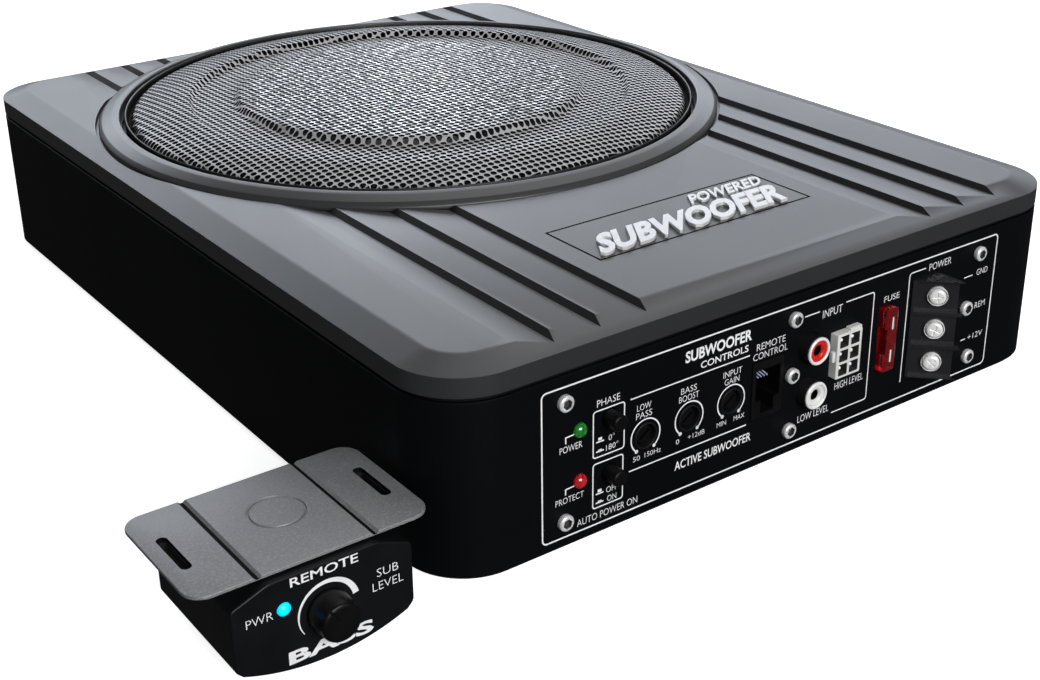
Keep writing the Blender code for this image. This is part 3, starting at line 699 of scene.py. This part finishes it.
def mesh_sheet(edge_r):
    """Pressed sheet with a square lattice of eight-sided holes, cut off at the rim's circle."""
    bm = bmesh.new()
    cache = {}

    def vert(x, y, drop=0.0):
        r = hypot(x, y)
        if r > edge_r:
            x, y, r = x * edge_r / r, y * edge_r / r, edge_r
        key = (round(x, 3), round(y, 3), drop)
        if key not in cache:
            cache[key] = bm.verts.new((x * MM, y * MM, (dome_height(r) - drop) * MM))
        return cache[key]

    # faces marked inside get the painted shade black: the hole walls and the cut cells at the edge
    def face(*corners, inside=False):
        corners = list(dict.fromkeys(corners))
        if len(corners) > 2 and not bm.faces.get(corners):
            bm.faces.new(corners).material_index = int(inside)

    reach = int(edge_r / PITCH) + 1
    half = PITCH / 2
    cell = [
        (half, 0), (half, half), (0, half), (-half, half),
        (-half, 0), (-half, -half), (0, -half), (half, -half),
    ]
    for i in range(-reach, reach + 1):
        for j in range(-reach, reach + 1):
            cx, cy = i * PITCH, j * PITCH
            nearest = hypot(max(0, abs(cx) - half), max(0, abs(cy) - half))
            if nearest >= edge_r - 0.05:
                continue
            outer = [vert(cx + x, cy + y) for x, y in cell]
            # cut cells at the edge are filled with painted shade black
            if hypot(cx, cy) > edge_r - 0.5:
                face(*outer, inside=True)
                continue
            ring = [(cx + HOLE_R * cos(k * pi / 4), cy + HOLE_R * sin(k * pi / 4)) for k in range(8)]
            upper = [vert(*p) for p in ring]
            lower = [vert(*p, SHEET_T) for p in ring]
            for k in range(8):
                n = (k + 1) % 8
                face(outer[k], outer[n], upper[n], upper[k])
                face(upper[k], upper[n], lower[n], lower[k], inside=True)
    return bm


def painted_highlight_centre():
    """Middle of the mesh with painted highlights: bright strands come and go in small patches."""
    material, tree, bsdf = tree_of("grille_centre_painted_highlights")
    patch = noise(tree, 380.0, 3.0, 0.65)
    stops = ((0.41, (0.10, 0.101, 0.104)), (0.5, (0.24, 0.242, 0.247)), (0.58, (0.80, 0.80, 0.81)))
    tree.links.new(ramp(tree, patch, stops), bsdf.inputs["Base Color"])
    tree.links.new(spread(tree, patch, 0.42, 0.3), bsdf.inputs["Roughness"])
    bsdf.inputs["Metallic"].default_value = 0.25
    return material


sheet = add("grille_mesh", mesh_sheet(MESH_R), MESH, at=DRIVER, sharp=50)
sheet.data.materials.append(PAINTED_SHADE_BLACK)
sheet.data.materials.append(painted_highlight_centre())
# in the middle, the mesh's upper faces get the painted highlights
for face in sheet.data.polygons:
    if not face.material_index and hypot(face.center.x, face.center.y - DRIVER_Y * MM) < HIGHLIGHT_R * MM:
        face.material_index = 2

paint(PAPER, "cone")
paint(CAP, "dust_cap")
paint(RUBBER, "driver_gasket")
paint(PLASTIC, "basket", "driver_terminal")
paint(COPPER, "voice_coil")
paint(STEEL, "top_plate", "back_plate")
paint(FERRITE, "magnet")
paint(LEAD, "speaker_lead")
paint(BOARD, "amp_board")
paint(ALLOY, "heat_sink")


def flexing(name, profile, count, outer, inner, material):
    """A ring in sectors, each baked in place; the points beyond outer and inside inner are passed as its
    bend, which add does not use further.
    """
    for k in range(count):
        heading = 360 * k / count
        way = Vector((cos(radians(heading)), sin(radians(heading)), 0)) * MM
        centre = Vector((0, DRIVER_Y * MM, 0))
        add(
            f"{name}_{k + 1}",
            wedge(profile, heading, 180 / count),
            material,
            stands_for=name if k == 0 else None,
            at=DRIVER,
            sharp=60,
            bend=("base", "cone_assembly", tuple(centre + way * outer), tuple(centre + way * inner)),
        )


def roll_arc(radius, angles):
    """Points of the surround's half roll, which hangs below its edges."""
    return [(ROLL_MID + radius * cos(radians(a)), ROLL_Z - radius * sin(radians(a))) for a in angles]


roll = [(109, 63.0), (109, 63.8), (103.6, 63.8)] + roll_arc(ROLL_R - ROLL_SKIN, range(0, 181, 15))
roll += [(90.9, 62.0), (88.6, 61.8), (88.6, 61.0), (90.6, 61.0)] + roll_arc(ROLL_R, range(165, -1, -15))
flexing("surround", roll, 16, 101.4, 91.4, RUBBER)

waves = [
    (WAVE_START + WAVE_RUN * i / 48, WAVE_Z + WAVE_RISE * i / 48 - WAVE_SWING * cos(2 * pi * i / 8))
    for i in range(49)
]
folds = [(61.2, 34.35), (61.2, 34.95)] + [(r, z + 0.6) for r, z in reversed(waves)]
folds += [(26.65, 34.0), (26.65, 33.4)] + waves
flexing("spider", folds, 12, 54.5, 29.0, CLOTH)

# ---------------------------------------------------------------- badge on the cover


def on_cover(height):
    return shift(0, 0, TOP_Z + height)


badge_frame = ribbon([(-44.3, -133.9), (44.7, -133.9), (44.7, -106.4), (-44.3, -106.4)], 0.75, closed=True)
badge_word = lettering("SUBWOOFER", -43.0, 36.0, -132.6, -118.6, weight=0.035, lean=0.6, depth=1.1)
badge_line = lettering("POWERED", 8.0, 40.0, -116.6, -109.4, weight=0.02, lean=0.6, depth=0.8)
add("badge_frame", badge_frame, FRAME_PRINT, at=on_cover(PRINT_OUT))
add("badge_word", badge_word, BADGE, at=on_cover(-0.02), sharp=30)
add("badge_line", badge_line, BADGE, at=on_cover(-0.02), sharp=30)

# ---------------------------------------------------------------- control wall pieces

head = soften([(0, 1.9), (2.1, 1.9), (2.55, 1.5), (2.55, 0.05), (1.3, 0.05), (1.3, -8), (0, -8)], 0.25)
hexagon = [(1.6 * cos(radians(60 * i + 15)), 1.6 * sin(radians(60 * i + 15))) for i in range(6)]
cap_screw = carved(lathe(head, 40), prism(hexagon, 0.7, 3.0))
# the hexagon's walls and floor get painted shade
for face in cap_screw.faces:  # the walls and the floor of the hexagon
    centre = face.calc_center_median() / MM
    face.material_index = int(hypot(centre.x, centre.y) < 1.58 and 0.65 < centre.z < 1.88)
for number, place in enumerate(SCREWS, 1):
    screw = add(
        f"wall_screw_{number}", cap_screw.copy(), STEEL,
        stands_for=f"panel_screw_{number}", at=on_wall(*place),
    )
    screw.data.materials.append(RECESS_SHADE_GREY)
cap_screw.free()

for name, place in POTS.items():
    paint(PLASTIC, f"{name}_pot")
    shaft = [(0, -0.7), (2.75, -0.7), (3.2, -1.1), (3.2, -4.7), (2.4, -4.7), (2.4, -11.5), (0, -11.5)]
    shaft = lathe(soften(shaft, 0.2), 72, flutes=18, flute_depth=0.28, flute_from=2.9)
    driver_slot = moved(block(-2.3, 2.3, -0.45, 0.45, -1.9, 0), turned(35))
    add(
        f"{name}_slotted", carved(shaft, driver_slot), SHAFT,
        body=f"{name}_control", stands_for=f"{name}_shaft", at=on_wall(*place),
    )
    collar = soften([(3.75, 0.35), (4.15, 0.35), (4.15, -2.6), (3.75, -2.6)], 0.12)
    add(f"{name}_collar", lathe(collar, 56), PLASTIC, at=on_wall(*place))

for name, place in BUTTONS.items():
    paint(PLASTIC, f"{name}_switch")
    stem = soften([(0, 5.5), (2.2, 5.5), (2.6, 5.0), (2.6, -5.5), (0, -5.5)], 0.35, 4)
    add(
        f"{name}_cap", lathe(stem, 48), SHAFT,
        body=f"{name}_key", stands_for=f"{name}_button", at=on_wall(*place),
    )


def lens_shape(bulge, radius, collar, back):
    """A clear dome of (radius, height) points on a stem with a collar behind the wall."""
    return lathe(bulge + [(radius, -2.8), (collar, -2.8), (collar, back), (0, back)], 40)


for name, glass in (("green", GREEN_LIT), ("red", RED_LIT)):
    bulge = [(0, 1.5), (0.6, 1.44), (1.2, 1.25), (1.7, 0.9), (2.1, 0.45), (2.3, 0)]
    add(
        f"lens_{name}", lens_shape(bulge, 2.3, 3.2, -3.8), glass,
        stands_for=f"led_{name}", at=on_wall(*LEDS[name]), sharp=50,
    )

for name, face_colour in (("red", PHONO_RED), ("white", PHONO_WHITE)):
    at = on_wall(*PHONO[name])
    sleeve = [(3.6, 3.7), (4.5, 3.7), (4.6, 3.5), (4.6, -2.8), (6.5, -2.8), (6.5, -4.3), (3.6, -4.3)]
    add(
        f"phono_{name}_sleeve", lathe(soften(sleeve, 0.15), 56), PLASTIC,
        stands_for=f"phono_{name}", at=at,
    )
    ring = soften([(3.55, 3.7), (3.6, 4.3), (3.8, 4.5), (4.35, 4.5), (4.6, 4.25), (4.6, 3.7)], 0.15)
    add(f"phono_{name}_ring", lathe(ring, 56), NICKEL, at=at)
    insert = soften([(1.75, -1.0), (1.75, 3.2), (2.2, 3.9), (3.4, 4.15), (3.5, 3.9), (3.5, -1.0)], 0.2)
    add(f"phono_{name}_insert", lathe(insert, 48), face_colour, at=at)
    # the bore is a dark lining of painted shade
    bore = [(0, -9), (1.75, -9), (1.75, 3.1), (1.6, 3.1), (1.6, -8.6), (0, -8.6)]
    add(f"phono_{name}_bore", lathe(bore, 32), GASKET_AND_SHADE_DARK, at=at)

# six-way socket
x0, x1, z0, z1 = SOCKET
cells = [soft_block(x - 1.95, x + 1.95, z - 2.0, z + 2.0, -6, 4.5, 0.4, 0.05) for x, z in SOCKET_CELLS]
socket = carved(
    soft_block(x0 + 0.5, x1 - 0.5, z0, z1, -12, 2.4, 0.5, 0.25),
    together(*cells),
    joined=(
        soft_block(x0 - 0.6, x0 + 0.8, 29.2, 32.8, 0.3, 1.6, 0.3, 0.2),
        soft_block(x0 + 6.2, x1 - 0.6, z1 - 0.3, z1 + 0.9, 0.2, 2.2, 0.3, 0.2),
    ),
)
# the cells' inner faces get painted shade
for face in socket.faces:
    centre = face.calc_center_median() / MM
    in_cell = any(abs(centre.x - x) < 1.98 and abs(centre.y - z) < 2.03 for x, z in SOCKET_CELLS)
    face.material_index = int(in_cell and centre.z < 2.3)
socket = add(
    "six_way_body", socket, WHITE,
    stands_for="high_level_socket", at=PANEL, sharp=30,
)
socket.data.materials.append(RECESS_SHADE_GREY)
pin = soften([(0, 1.5), (0.6, 1.1), (0.6, -5.9), (0, -5.9)], 0.15)
pins = repeated(lambda: lathe(pin, 16), [shift(*cell) for cell in SOCKET_CELLS])
add("six_way_pins", pins, NICKEL, at=PANEL)
# dark cell floors of painted shade
liners = [block(x - 1.9, x + 1.9, z - 1.95, z + 1.95, -5.95, -1.5) for x, z in SOCKET_CELLS]
add("six_way_floor", together(*liners), GASKET_AND_SHADE_DARK, at=PANEL)

# modular jack for the remote's lead
jack = carved(soft_block(*JACK, -16, 0.3, 0.5, 0.15), block(*JACK_MOUTH, -13, 1), block(*JACK_NOTCH, -9, 1))
add("jack_body", jack, SHAFT, stands_for="remote_jack", at=PANEL)
contacts = [shift(-13.2 + 1.25 * k, 35.0, -9.6) @ Matrix.Rotation(radians(14), 4, "X") for k in range(4)]
add("jack_contacts", repeated(lambda: rod(0.22, 0, 9.5, 8), contacts), CONTACT, at=PANEL)

# blade fuse in its holder
paint(PLASTIC, "fuse_holder")
x0, x1, z0, z1 = FUSE
mid_z = (z0 + z1) / 2


def fuse_pair(x0, x1, offset, half, low, high):
    """Two blocks, one above and one below the fuse's middle."""
    return [block(x0, x1, mid_z + s * offset - half, mid_z + s * offset + half, low, high) for s in (-1, 1)]


fuse = carved(
    soft_block(x0, x1, z0, z1, -8.5, 3.0, 0.8, 0.5),
    block(x0 - 1, x0 + 0.7, mid_z - 4.5, mid_z + 4.5, -0.2, 4),
    together(*fuse_pair(42.35, 43.45, 5.8, 2.3, 2.2, 4)),
)
add("fuse_body", fuse, FUSE_RED, body="fuse_link", stands_for="fuse", at=PANEL)
metal = together(*fuse_pair(41.9, 42.7, 6.3, 2.5, -14.5, -8), *fuse_pair(42.45, 43.35, 5.8, 2.2, 1.5, 2.75))
add("fuse_blades", metal, NICKEL, body="fuse_link", at=PANEL)

# angled power terminals
plan = [
    (TERMINAL_X[0] + 1.0, FRONT + 12),
    (TERMINAL_X[0] + 1.0, FRONT - 0.3),
    (TERMINAL_X[0], FRONT - 0.3),
    (TERMINAL_X[0] + 11.5, FRONT - TERMINAL_OUT),
    (TERMINAL_X[1] - 0.3, FRONT - TERMINAL_OUT),
    (TERMINAL_X[1] - 0.3, FRONT + 12),
]


def slanted(z):
    """Local z points out of the block's slanted face, local x along it and local y up."""
    return shift(CELL_X, FRONT - CELL_OUT, z) @ turned(-45) @ OUTWARD


cell_places = [slanted(z) for z in CELLS_Z]
terminal = carved(
    prism(soften(plan, 0.35, 3), TERMINAL_Z[0] + 0.3, TERMINAL_Z[1] - 0.3),
    repeated(lambda: soft_block(-7.2, 13, -5.35, 5.35, -1.5, 4, 0.3, 0.01), cell_places),
    repeated(lambda: rod(2.1, -6.4, 0, 24), cell_places),
    together(*(block(62.5, 68, FRONT - 5.7, FRONT - 0.9, z - 3, z + 3) for z in CELLS_Z)),
)
add("terminal_body", terminal, BLOCK, stands_for="terminal_block")
clamp = [(0, 0.5), (1.8, 0.45), (2.5, 0.2), (2.75, -0.3), (2.75, -1.9), (1.8, -1.9), (1.8, -5.6), (0, -5.6)]
for number, place in enumerate(cell_places, 1):
    turn = turned(20 + 25 * number)
    cross = [block(-1.7, 1.7, -0.3, 0.3, 0.1, 2), block(-0.3, 0.3, -1.7, 1.7, 0.1, 2)]
    screw = carved(lathe(soften(clamp, 0.3), 40), *(moved(bar, turn) for bar in cross))
    add(
        f"clamp_screw_{number}", screw, NICKEL,
        body=f"clamp_{number}", stands_for=f"terminal_screw_{number}", at=place,
    )

cage = soften([(3.05, -1.9), (3.05, -0.6), (3.2, -0.35), (3.35, -0.6), (3.35, -1.9)], 0.1)
add("clamp_cages", repeated(lambda: lathe(cage, 40), cell_places), NICKEL)

# ---------------------------------------------------------------- print on the control wall

THICK, THIN, SCALE_LINE, SCALE_R, DOT_R = 0.52, 0.42, 0.45, 5.45, 0.62
SCALE_ENDS = (-52, 232)
SWITCH_MARKS = ((-75.1, 32.0, True), (-75.1, 28.9, False), (-75.1, 15.0, True), (-75.1, 12.0, False))


def frame_line(x0, x1, z0, z1, radius, width):
    """The line round a rectangle with round corners."""
    outline = rounded((x1 - x0) / 2, (z1 - z0) / 2, radius, 5, ((x0 + x1) / 2, (z0 + z1) / 2))
    return ribbon(outline, width, closed=True)


lines = [
    frame_line(-95.65, 95.65, 5.1, 53.3, 1.6, THICK),
    frame_line(-77.6, -66.3, 27.1, 42.0, 0.9, THIN),
    frame_line(-77.6, -66.6, 10.5, 25.1, 0.9, THIN),
]
lines += [ribbon(path, THIN) for path in (
    [(-64.1, 41.8), (-17.7, 41.8)],
    [(-64.3, 18.2), (-17.9, 18.2)],
    [(5.0, 48.1), (11.5, 48.1)],
    [
        (23.2, 48.1), (35.2, 48.1), (35.8, 47.8), (36.0, 47.2),
        (36.0, 10.8), (35.7, 10.2), (35.2, 10.0), (20.0, 10.0),
    ],
    [(60.0, 50.0), (53.2, 50.0), (52.6, 49.6), (52.4, 49.0), (52.4, 10.9)],
    [(80.1, 41.1), (84.4, 41.1)],
    [(81.9, 17.4), (84.4, 17.4)],
    [(-84.4, 37.4), (-87.4, 37.3), (-87.3, 35.3)],
    [(-84.4, 20.8), (-87.4, 20.6), (-87.4, 18.8)],
)]
for x, z in POTS.values():
    lines.append(ribbon(arc((x, z), SCALE_R, *SCALE_ENDS, 48), SCALE_LINE))
    lines += [disc(end, DOT_R) for end in arc((x, z), SCALE_R, *SCALE_ENDS, 1)]
for x, z, stands_out in SWITCH_MARKS:  # a base line with the button out or in above it
    rise, height = (0.9, 0.9) if stands_out else (0.45, 0.35)
    lines.append(ribbon([(x - 1.4, z), (x + 1.4, z)], 0.45))
    lines.append(ribbon([(x - 0.7, z + rise), (x + 0.7, z + rise)], height))
WORDS = (  # text, then its left, right, low and high edge
    ("INPUT", 12.9, 21.6, 45.3, 48.0), ("HIGH LEVEL", 20.7, 33.7, 17.9, 20.4),
    ("LOW LEVEL", 4.7, 18.6, 11.2, 13.7), ("POWER", 61.7, 72.5, 48.5, 51.0),
    ("GND", 86.5, 92.1, 40.4, 42.6), ("REM", 87.5, 92.7, 27.9, 30.1), ("+12V", 85.6, 93.2, 16.5, 18.6),
    ("FUSE", 41.0, 48.1, 42.9, 45.0), ("REMOTE", -14.9, -2.9, 42.3, 44.6),
    ("CONTROL", -16.2, -1.8, 39.2, 41.5), ("PHASE", -76.3, -68.0, 43.2, 45.4),
    ("POWER", -89.5, -81.5, 32.5, 34.6), ("PROTECT", -91.0, -80.9, 16.1, 18.1),
    ("AUTO POWER ON", -83.3, -60.9, 6.7, 9.0), ("0°", -72.0, -69.8, 31.2, 33.1),
    ("180°", -72.9, -68.4, 28.2, 30.1), ("OFF", -72.7, -68.6, 14.2, 16.1), ("ON", -72.3, -68.9, 11.2, 13.1),
    ("LOW", -61.6, -56.3, 37.0, 39.0), ("PASS", -61.9, -55.9, 34.4, 36.4),
    ("BASS", -44.9, -38.8, 37.1, 39.1), ("BOOST", -45.6, -37.8, 34.5, 36.5),
    ("INPUT", -28.2, -20.6, 37.2, 39.2), ("GAIN", -27.6, -21.6, 34.6, 36.6),
    ("50", -62.8, -60.2, 20.8, 22.4), ("150Hz", -58.4, -52.2, 20.9, 22.5), ("0", -46.3, -45.1, 21.0, 22.6),
    ("+12dB", -41.6, -35.0, 21.1, 22.7), ("MIN", -30.1, -26.3, 21.2, 22.8),
    ("MAX", -23.2, -18.8, 21.3, 22.9),
)
words = [lettering(*word, weight=-0.008) for word in WORDS]
words += [
    lettering("ACTIVE SUBWOOFER", -46.6, -15.6, 12.1, 15.1, weight=0.012),
    lettering("SUBWOOFER", -43.6, -17.2, 46.9, 50.7, weight=0.028),
    lettering("CONTROLS", -37.5, -18.4, 43.4, 45.7, weight=0.012),
]
add("wall_print", together(*lines, *words), PRINT, at=on_wall(out=PRINT_OUT))

# ---------------------------------------------------------------- remote

belly_edge = BELLY_R - sqrt(BELLY_R**2 - (REMOTE_HALF - 2) ** 2)
sweep = asin((REMOTE_HALF - 2) / BELLY_R)
belly = [(BELLY_R * sin(sweep * k / 12), BELLY_R * (1 - cos(sweep * k / 12))) for k in range(-12, 13)]
upper = [
    (REMOTE_HALF, belly_edge + 2.0), (REMOTE_HALF, 24.9), (15.8, 28.9),
    (-15.8, 28.9), (-REMOTE_HALF, 24.9), (-REMOTE_HALF, belly_edge + 2.0),
]
outline = belly[:-1] + soften([belly[-1], *upper, belly[0]], 1.2, 4, closed=False)
outline = list(dict.fromkeys((round(x, 4), round(z, 4)) for x, z in outline))


def smaller(fx, fz, mid_z=14.5):
    """The remote's outline, drawn in towards its middle."""
    return [(x * fx, mid_z + (z - mid_z) * fz) for x, z in outline]


cavity = [(-23, 6.5), (-12, 3.2), (12, 3.2), (23, 6.5), (23, 22.3), (13, 26.4), (-13, 26.4), (-23, 22.3)]
housing = carved(
    loft([
        (outline, -REMOTE_DEPTH), (outline, -0.55), (smaller(0.996, 0.993), -0.2), (smaller(0.985, 0.975), 0),
    ]),
    prism(cavity, -REMOTE_DEPTH - 1, -2.5),
    together(moved(rod(3.2, -4, 1, 40), shift(*KNOB)), moved(rod(2.1, -4, 1, 32), shift(*REMOTE_LED))),
)
add(
    "remote_body", housing, REMOTE_BLACK,
    body="remote", stands_for="remote_housing", at=REMOTE,
    sharp=25, weighted=True,
)

# bracket: a coated plate with two V channels, two slots and a pressed ring
flat = shift(0, 0, -BRACKET_MID) @ Matrix.Rotation(-pi / 2, 4, "X")
across = Matrix.Rotation(pi / 2, 4, "X")
slot_places = [shift(x) for x in (-SLOT_X, SLOT_X)]
plate_edge = [(0.5, 29.3), (0.0, 29.55), (0.0, 30.25), (0.1, 30.42), (0.35, 30.5)]
channel = [(15.6, 30.7), (16.5, 29.75), (17.3, 29.75), (18.3, 30.7)]
plate = carved(
    loft([(rounded(35 - i, 22.3 - i, 6 - i, 12), z) for i, z in plate_edge]),
    repeated(lambda: prism(rounded(1.55, 8.7, 1.53, 8), 20, 40), slot_places),
    moved(prism(channel, -30, 30), across),
    moved(prism(channel, -30, 30), turned(180) @ across),
    moved(lathe([(7.3, 30.0), (8.0, 30.0), (8.35, 31), (6.9, 31)], 72), shift(1.0, 2.0)),
)
plate = add(
    "remote_plate", plate, BRACKET,
    body="remote", stands_for="remote_bracket", at=REMOTE @ flat, sharp=30,
)
plate.data.materials.append(PAINTED_SHADE_BLACK)
# channel floors and slot walls get the painted shade black
for face in plate.data.polygons:
    x, y, z = face.center / MM - Vector((REMOTE_X, REMOTE_FRONT + BRACKET_MID, 0))
    in_channel = 15.6 < abs(x) < 18.2 and 29.7 < z < 30.48 and face.normal.z > 0.2 and face.normal.x > -0.3
    in_slot = abs(abs(x) - SLOT_X) < 1.6 and abs(y) < 8.8 and abs(face.normal.z) < 0.5
    face.material_index = int(in_channel or in_slot)


def shade_collar():
    """A dark rubber collar below a slot's edge: painted shade that keeps the slot black from above."""
    return carved(prism(rounded(2.1, 8.8, 2.08, 8), 27.4, 29.25), prism(rounded(1.28, 7.98, 1.26, 8), 26, 31))


add(
    "slot_shade_collars", repeated(shade_collar, slot_places), RUBBER,
    body="remote", at=REMOTE @ flat,
)
paint(REMOTE_BLACK, "remote_back")
paint(PLASTIC, "remote_pot")

grip = [
    (0, KNOB_OUT), (4.7, KNOB_OUT), (5.4, 7.75), (5.75, 7.2), (KNOB_R, 0.9), (KNOB_R, 0.3),
    (2.8, 0.3), (2.8, -9), (0, -9),
]
pointer = moved(block(-0.4, 0.4, 2.2, 7, KNOB_OUT - 0.4, KNOB_OUT + 1), turned(35))
add(
    "level_knob", carved(lathe(soften(grip, 0.3), 96), pointer), KNOB_BLACK,
    body="remote_control", stands_for="remote_knob", at=REMOTE @ shift(*KNOB),
)
bulge = [(0, 1.0), (0.6, 0.94), (1.1, 0.75), (1.55, 0.4), (1.9, 0)]
add(
    "remote_lens", lens_shape(bulge, 1.9, 2.6, -3.6), BLUE_LIT,
    body="remote", stands_for="remote_led", at=REMOTE @ shift(*REMOTE_LED), sharp=50,
)

marks = [
    lettering("PWR", -22.4, -14.9, 18.4, 20.9, weight=-0.012),
    lettering("SUB", 15.3, 21.8, 18.4, 20.9, weight=-0.012),
    lettering("LEVEL", 13.8, 23.2, 14.4, 16.9, weight=-0.012),
    lettering("REMOTE", -9.6, 10.1, 25.5, 28.2, weight=0.012),
    lettering("BASS", -11.6, 13.4, 2.6, 6.6, weight=0.035),
]
level_scale = arc((0.5, 14.8), 8.5, 213, 12, 60)
marks.append(ribbon(level_scale, [0.25 + 1.5 * i / 60 for i in range(61)]))
add("remote_print", together(*marks), PRINT, body="remote", at=REMOTE @ shift(0, 0, PRINT_OUT))

# ---------------------------------------------------------------- floor, light and camera

# Places in metres, turns in radians
CAMERA_AT, CAMERA_TURN, CAMERA_TILT, CAMERA_ROLL = (-0.3177, -0.4723, 0.2504), -0.6179, -0.416, 0.0157
SENSOR, FOCAL, SHIFT_X, SHIFT_Y = 36.0, 53.85, 0.0071, -0.0514
COOL = (0.85, 0.91, 1.0)
FLOOR_HALF = 9000  # millimetres


def studio_white():
    """A pale surface with a glow of its own, so that it stays even to the edges of the view."""
    material, _, bsdf = tree_of("studio_white")
    bsdf.inputs["Base Color"].default_value = (0.8, 0.8, 0.8, 1)
    bsdf.inputs["Roughness"].default_value = 0.8
    bsdf.inputs["Specular IOR Level"].default_value = 0.1
    bsdf.inputs["Emission Color"].default_value = (1, 1, 1, 1)
    bsdf.inputs["Emission Strength"].default_value = 0.8
    return material


floor = object_of("studio_floor", block(-FLOOR_HALF, FLOOR_HALF, -FLOOR_HALF, FLOOR_HALF, -20, -0.05))
floor.data.materials.append(studio_white())
floor.visible_glossy = floor.visible_diffuse = False


def softbox(name, at, target, width, height, power, colour=(1, 1, 1)):
    """A rectangular light at one place that faces another."""
    data = bpy.data.lights.new(name, "AREA")
    data.shape, data.size, data.size_y, data.energy, data.color = "RECTANGLE", width, height, power, colour
    light = bpy.data.objects.new(name, data)
    light.location = at
    light.rotation_euler = (Vector(target) - Vector(at)).to_track_quat("-Z", "Y").to_euler()
    bpy.context.scene.collection.objects.link(light)


softbox("back_left_light", (0.2, 1.55, 0.64), (0, 0.05, 0.06), 1.5, 0.45, 10.5, COOL)
softbox("back_right_light", (1.24, 1.0, 0.53), (0, 0, 0.06), 1.3, 0.45, 7.6, COOL)
softbox("top_light", (0.7, 0.45, 1.5), (0, 0, 0), 1.3, 1.3, 7.5)
softbox("front_light", (-0.25, -1.7, 0.75), (0.0, -0.17, 0.03), 1.2, 0.8, 34)

# The world is white for the camera and dim for everything else
world = bpy.data.worlds.new("studio")
world.use_nodes = True
sky = world.node_tree.nodes["Background"]
sky.inputs["Color"].default_value = (1, 1, 1, 1)
seen = world.node_tree.nodes.new("ShaderNodeLightPath").outputs["Is Camera Ray"]
world.node_tree.links.new(spread(world.node_tree, seen, 0.06, 1.0, 0.0, 1.0), sky.inputs["Strength"])

scene = bpy.context.scene
scene.world = world
scene.view_settings.view_transform = "Standard"

lens = bpy.data.cameras.new("camera")
lens.sensor_width, lens.sensor_fit, lens.lens = SENSOR, "HORIZONTAL", FOCAL
lens.shift_x, lens.shift_y = SHIFT_X, SHIFT_Y
lens.clip_start, lens.clip_end = 0.01, 60.0
camera = bpy.data.objects.new("camera", lens)
look = Matrix.Identity(3)
for angle, axis in ((CAMERA_TURN, "Z"), (CAMERA_TILT, "X"), (CAMERA_ROLL, "Y")):
    look = look @ Matrix.Rotation(angle, 3, axis)
right, forward, up = look.col
camera.matrix_world = Matrix.Translation(CAMERA_AT) @ Matrix((right, up, -forward)).transposed().to_4x4()
scene.collection.objects.link(camera)
scene.camera = camera
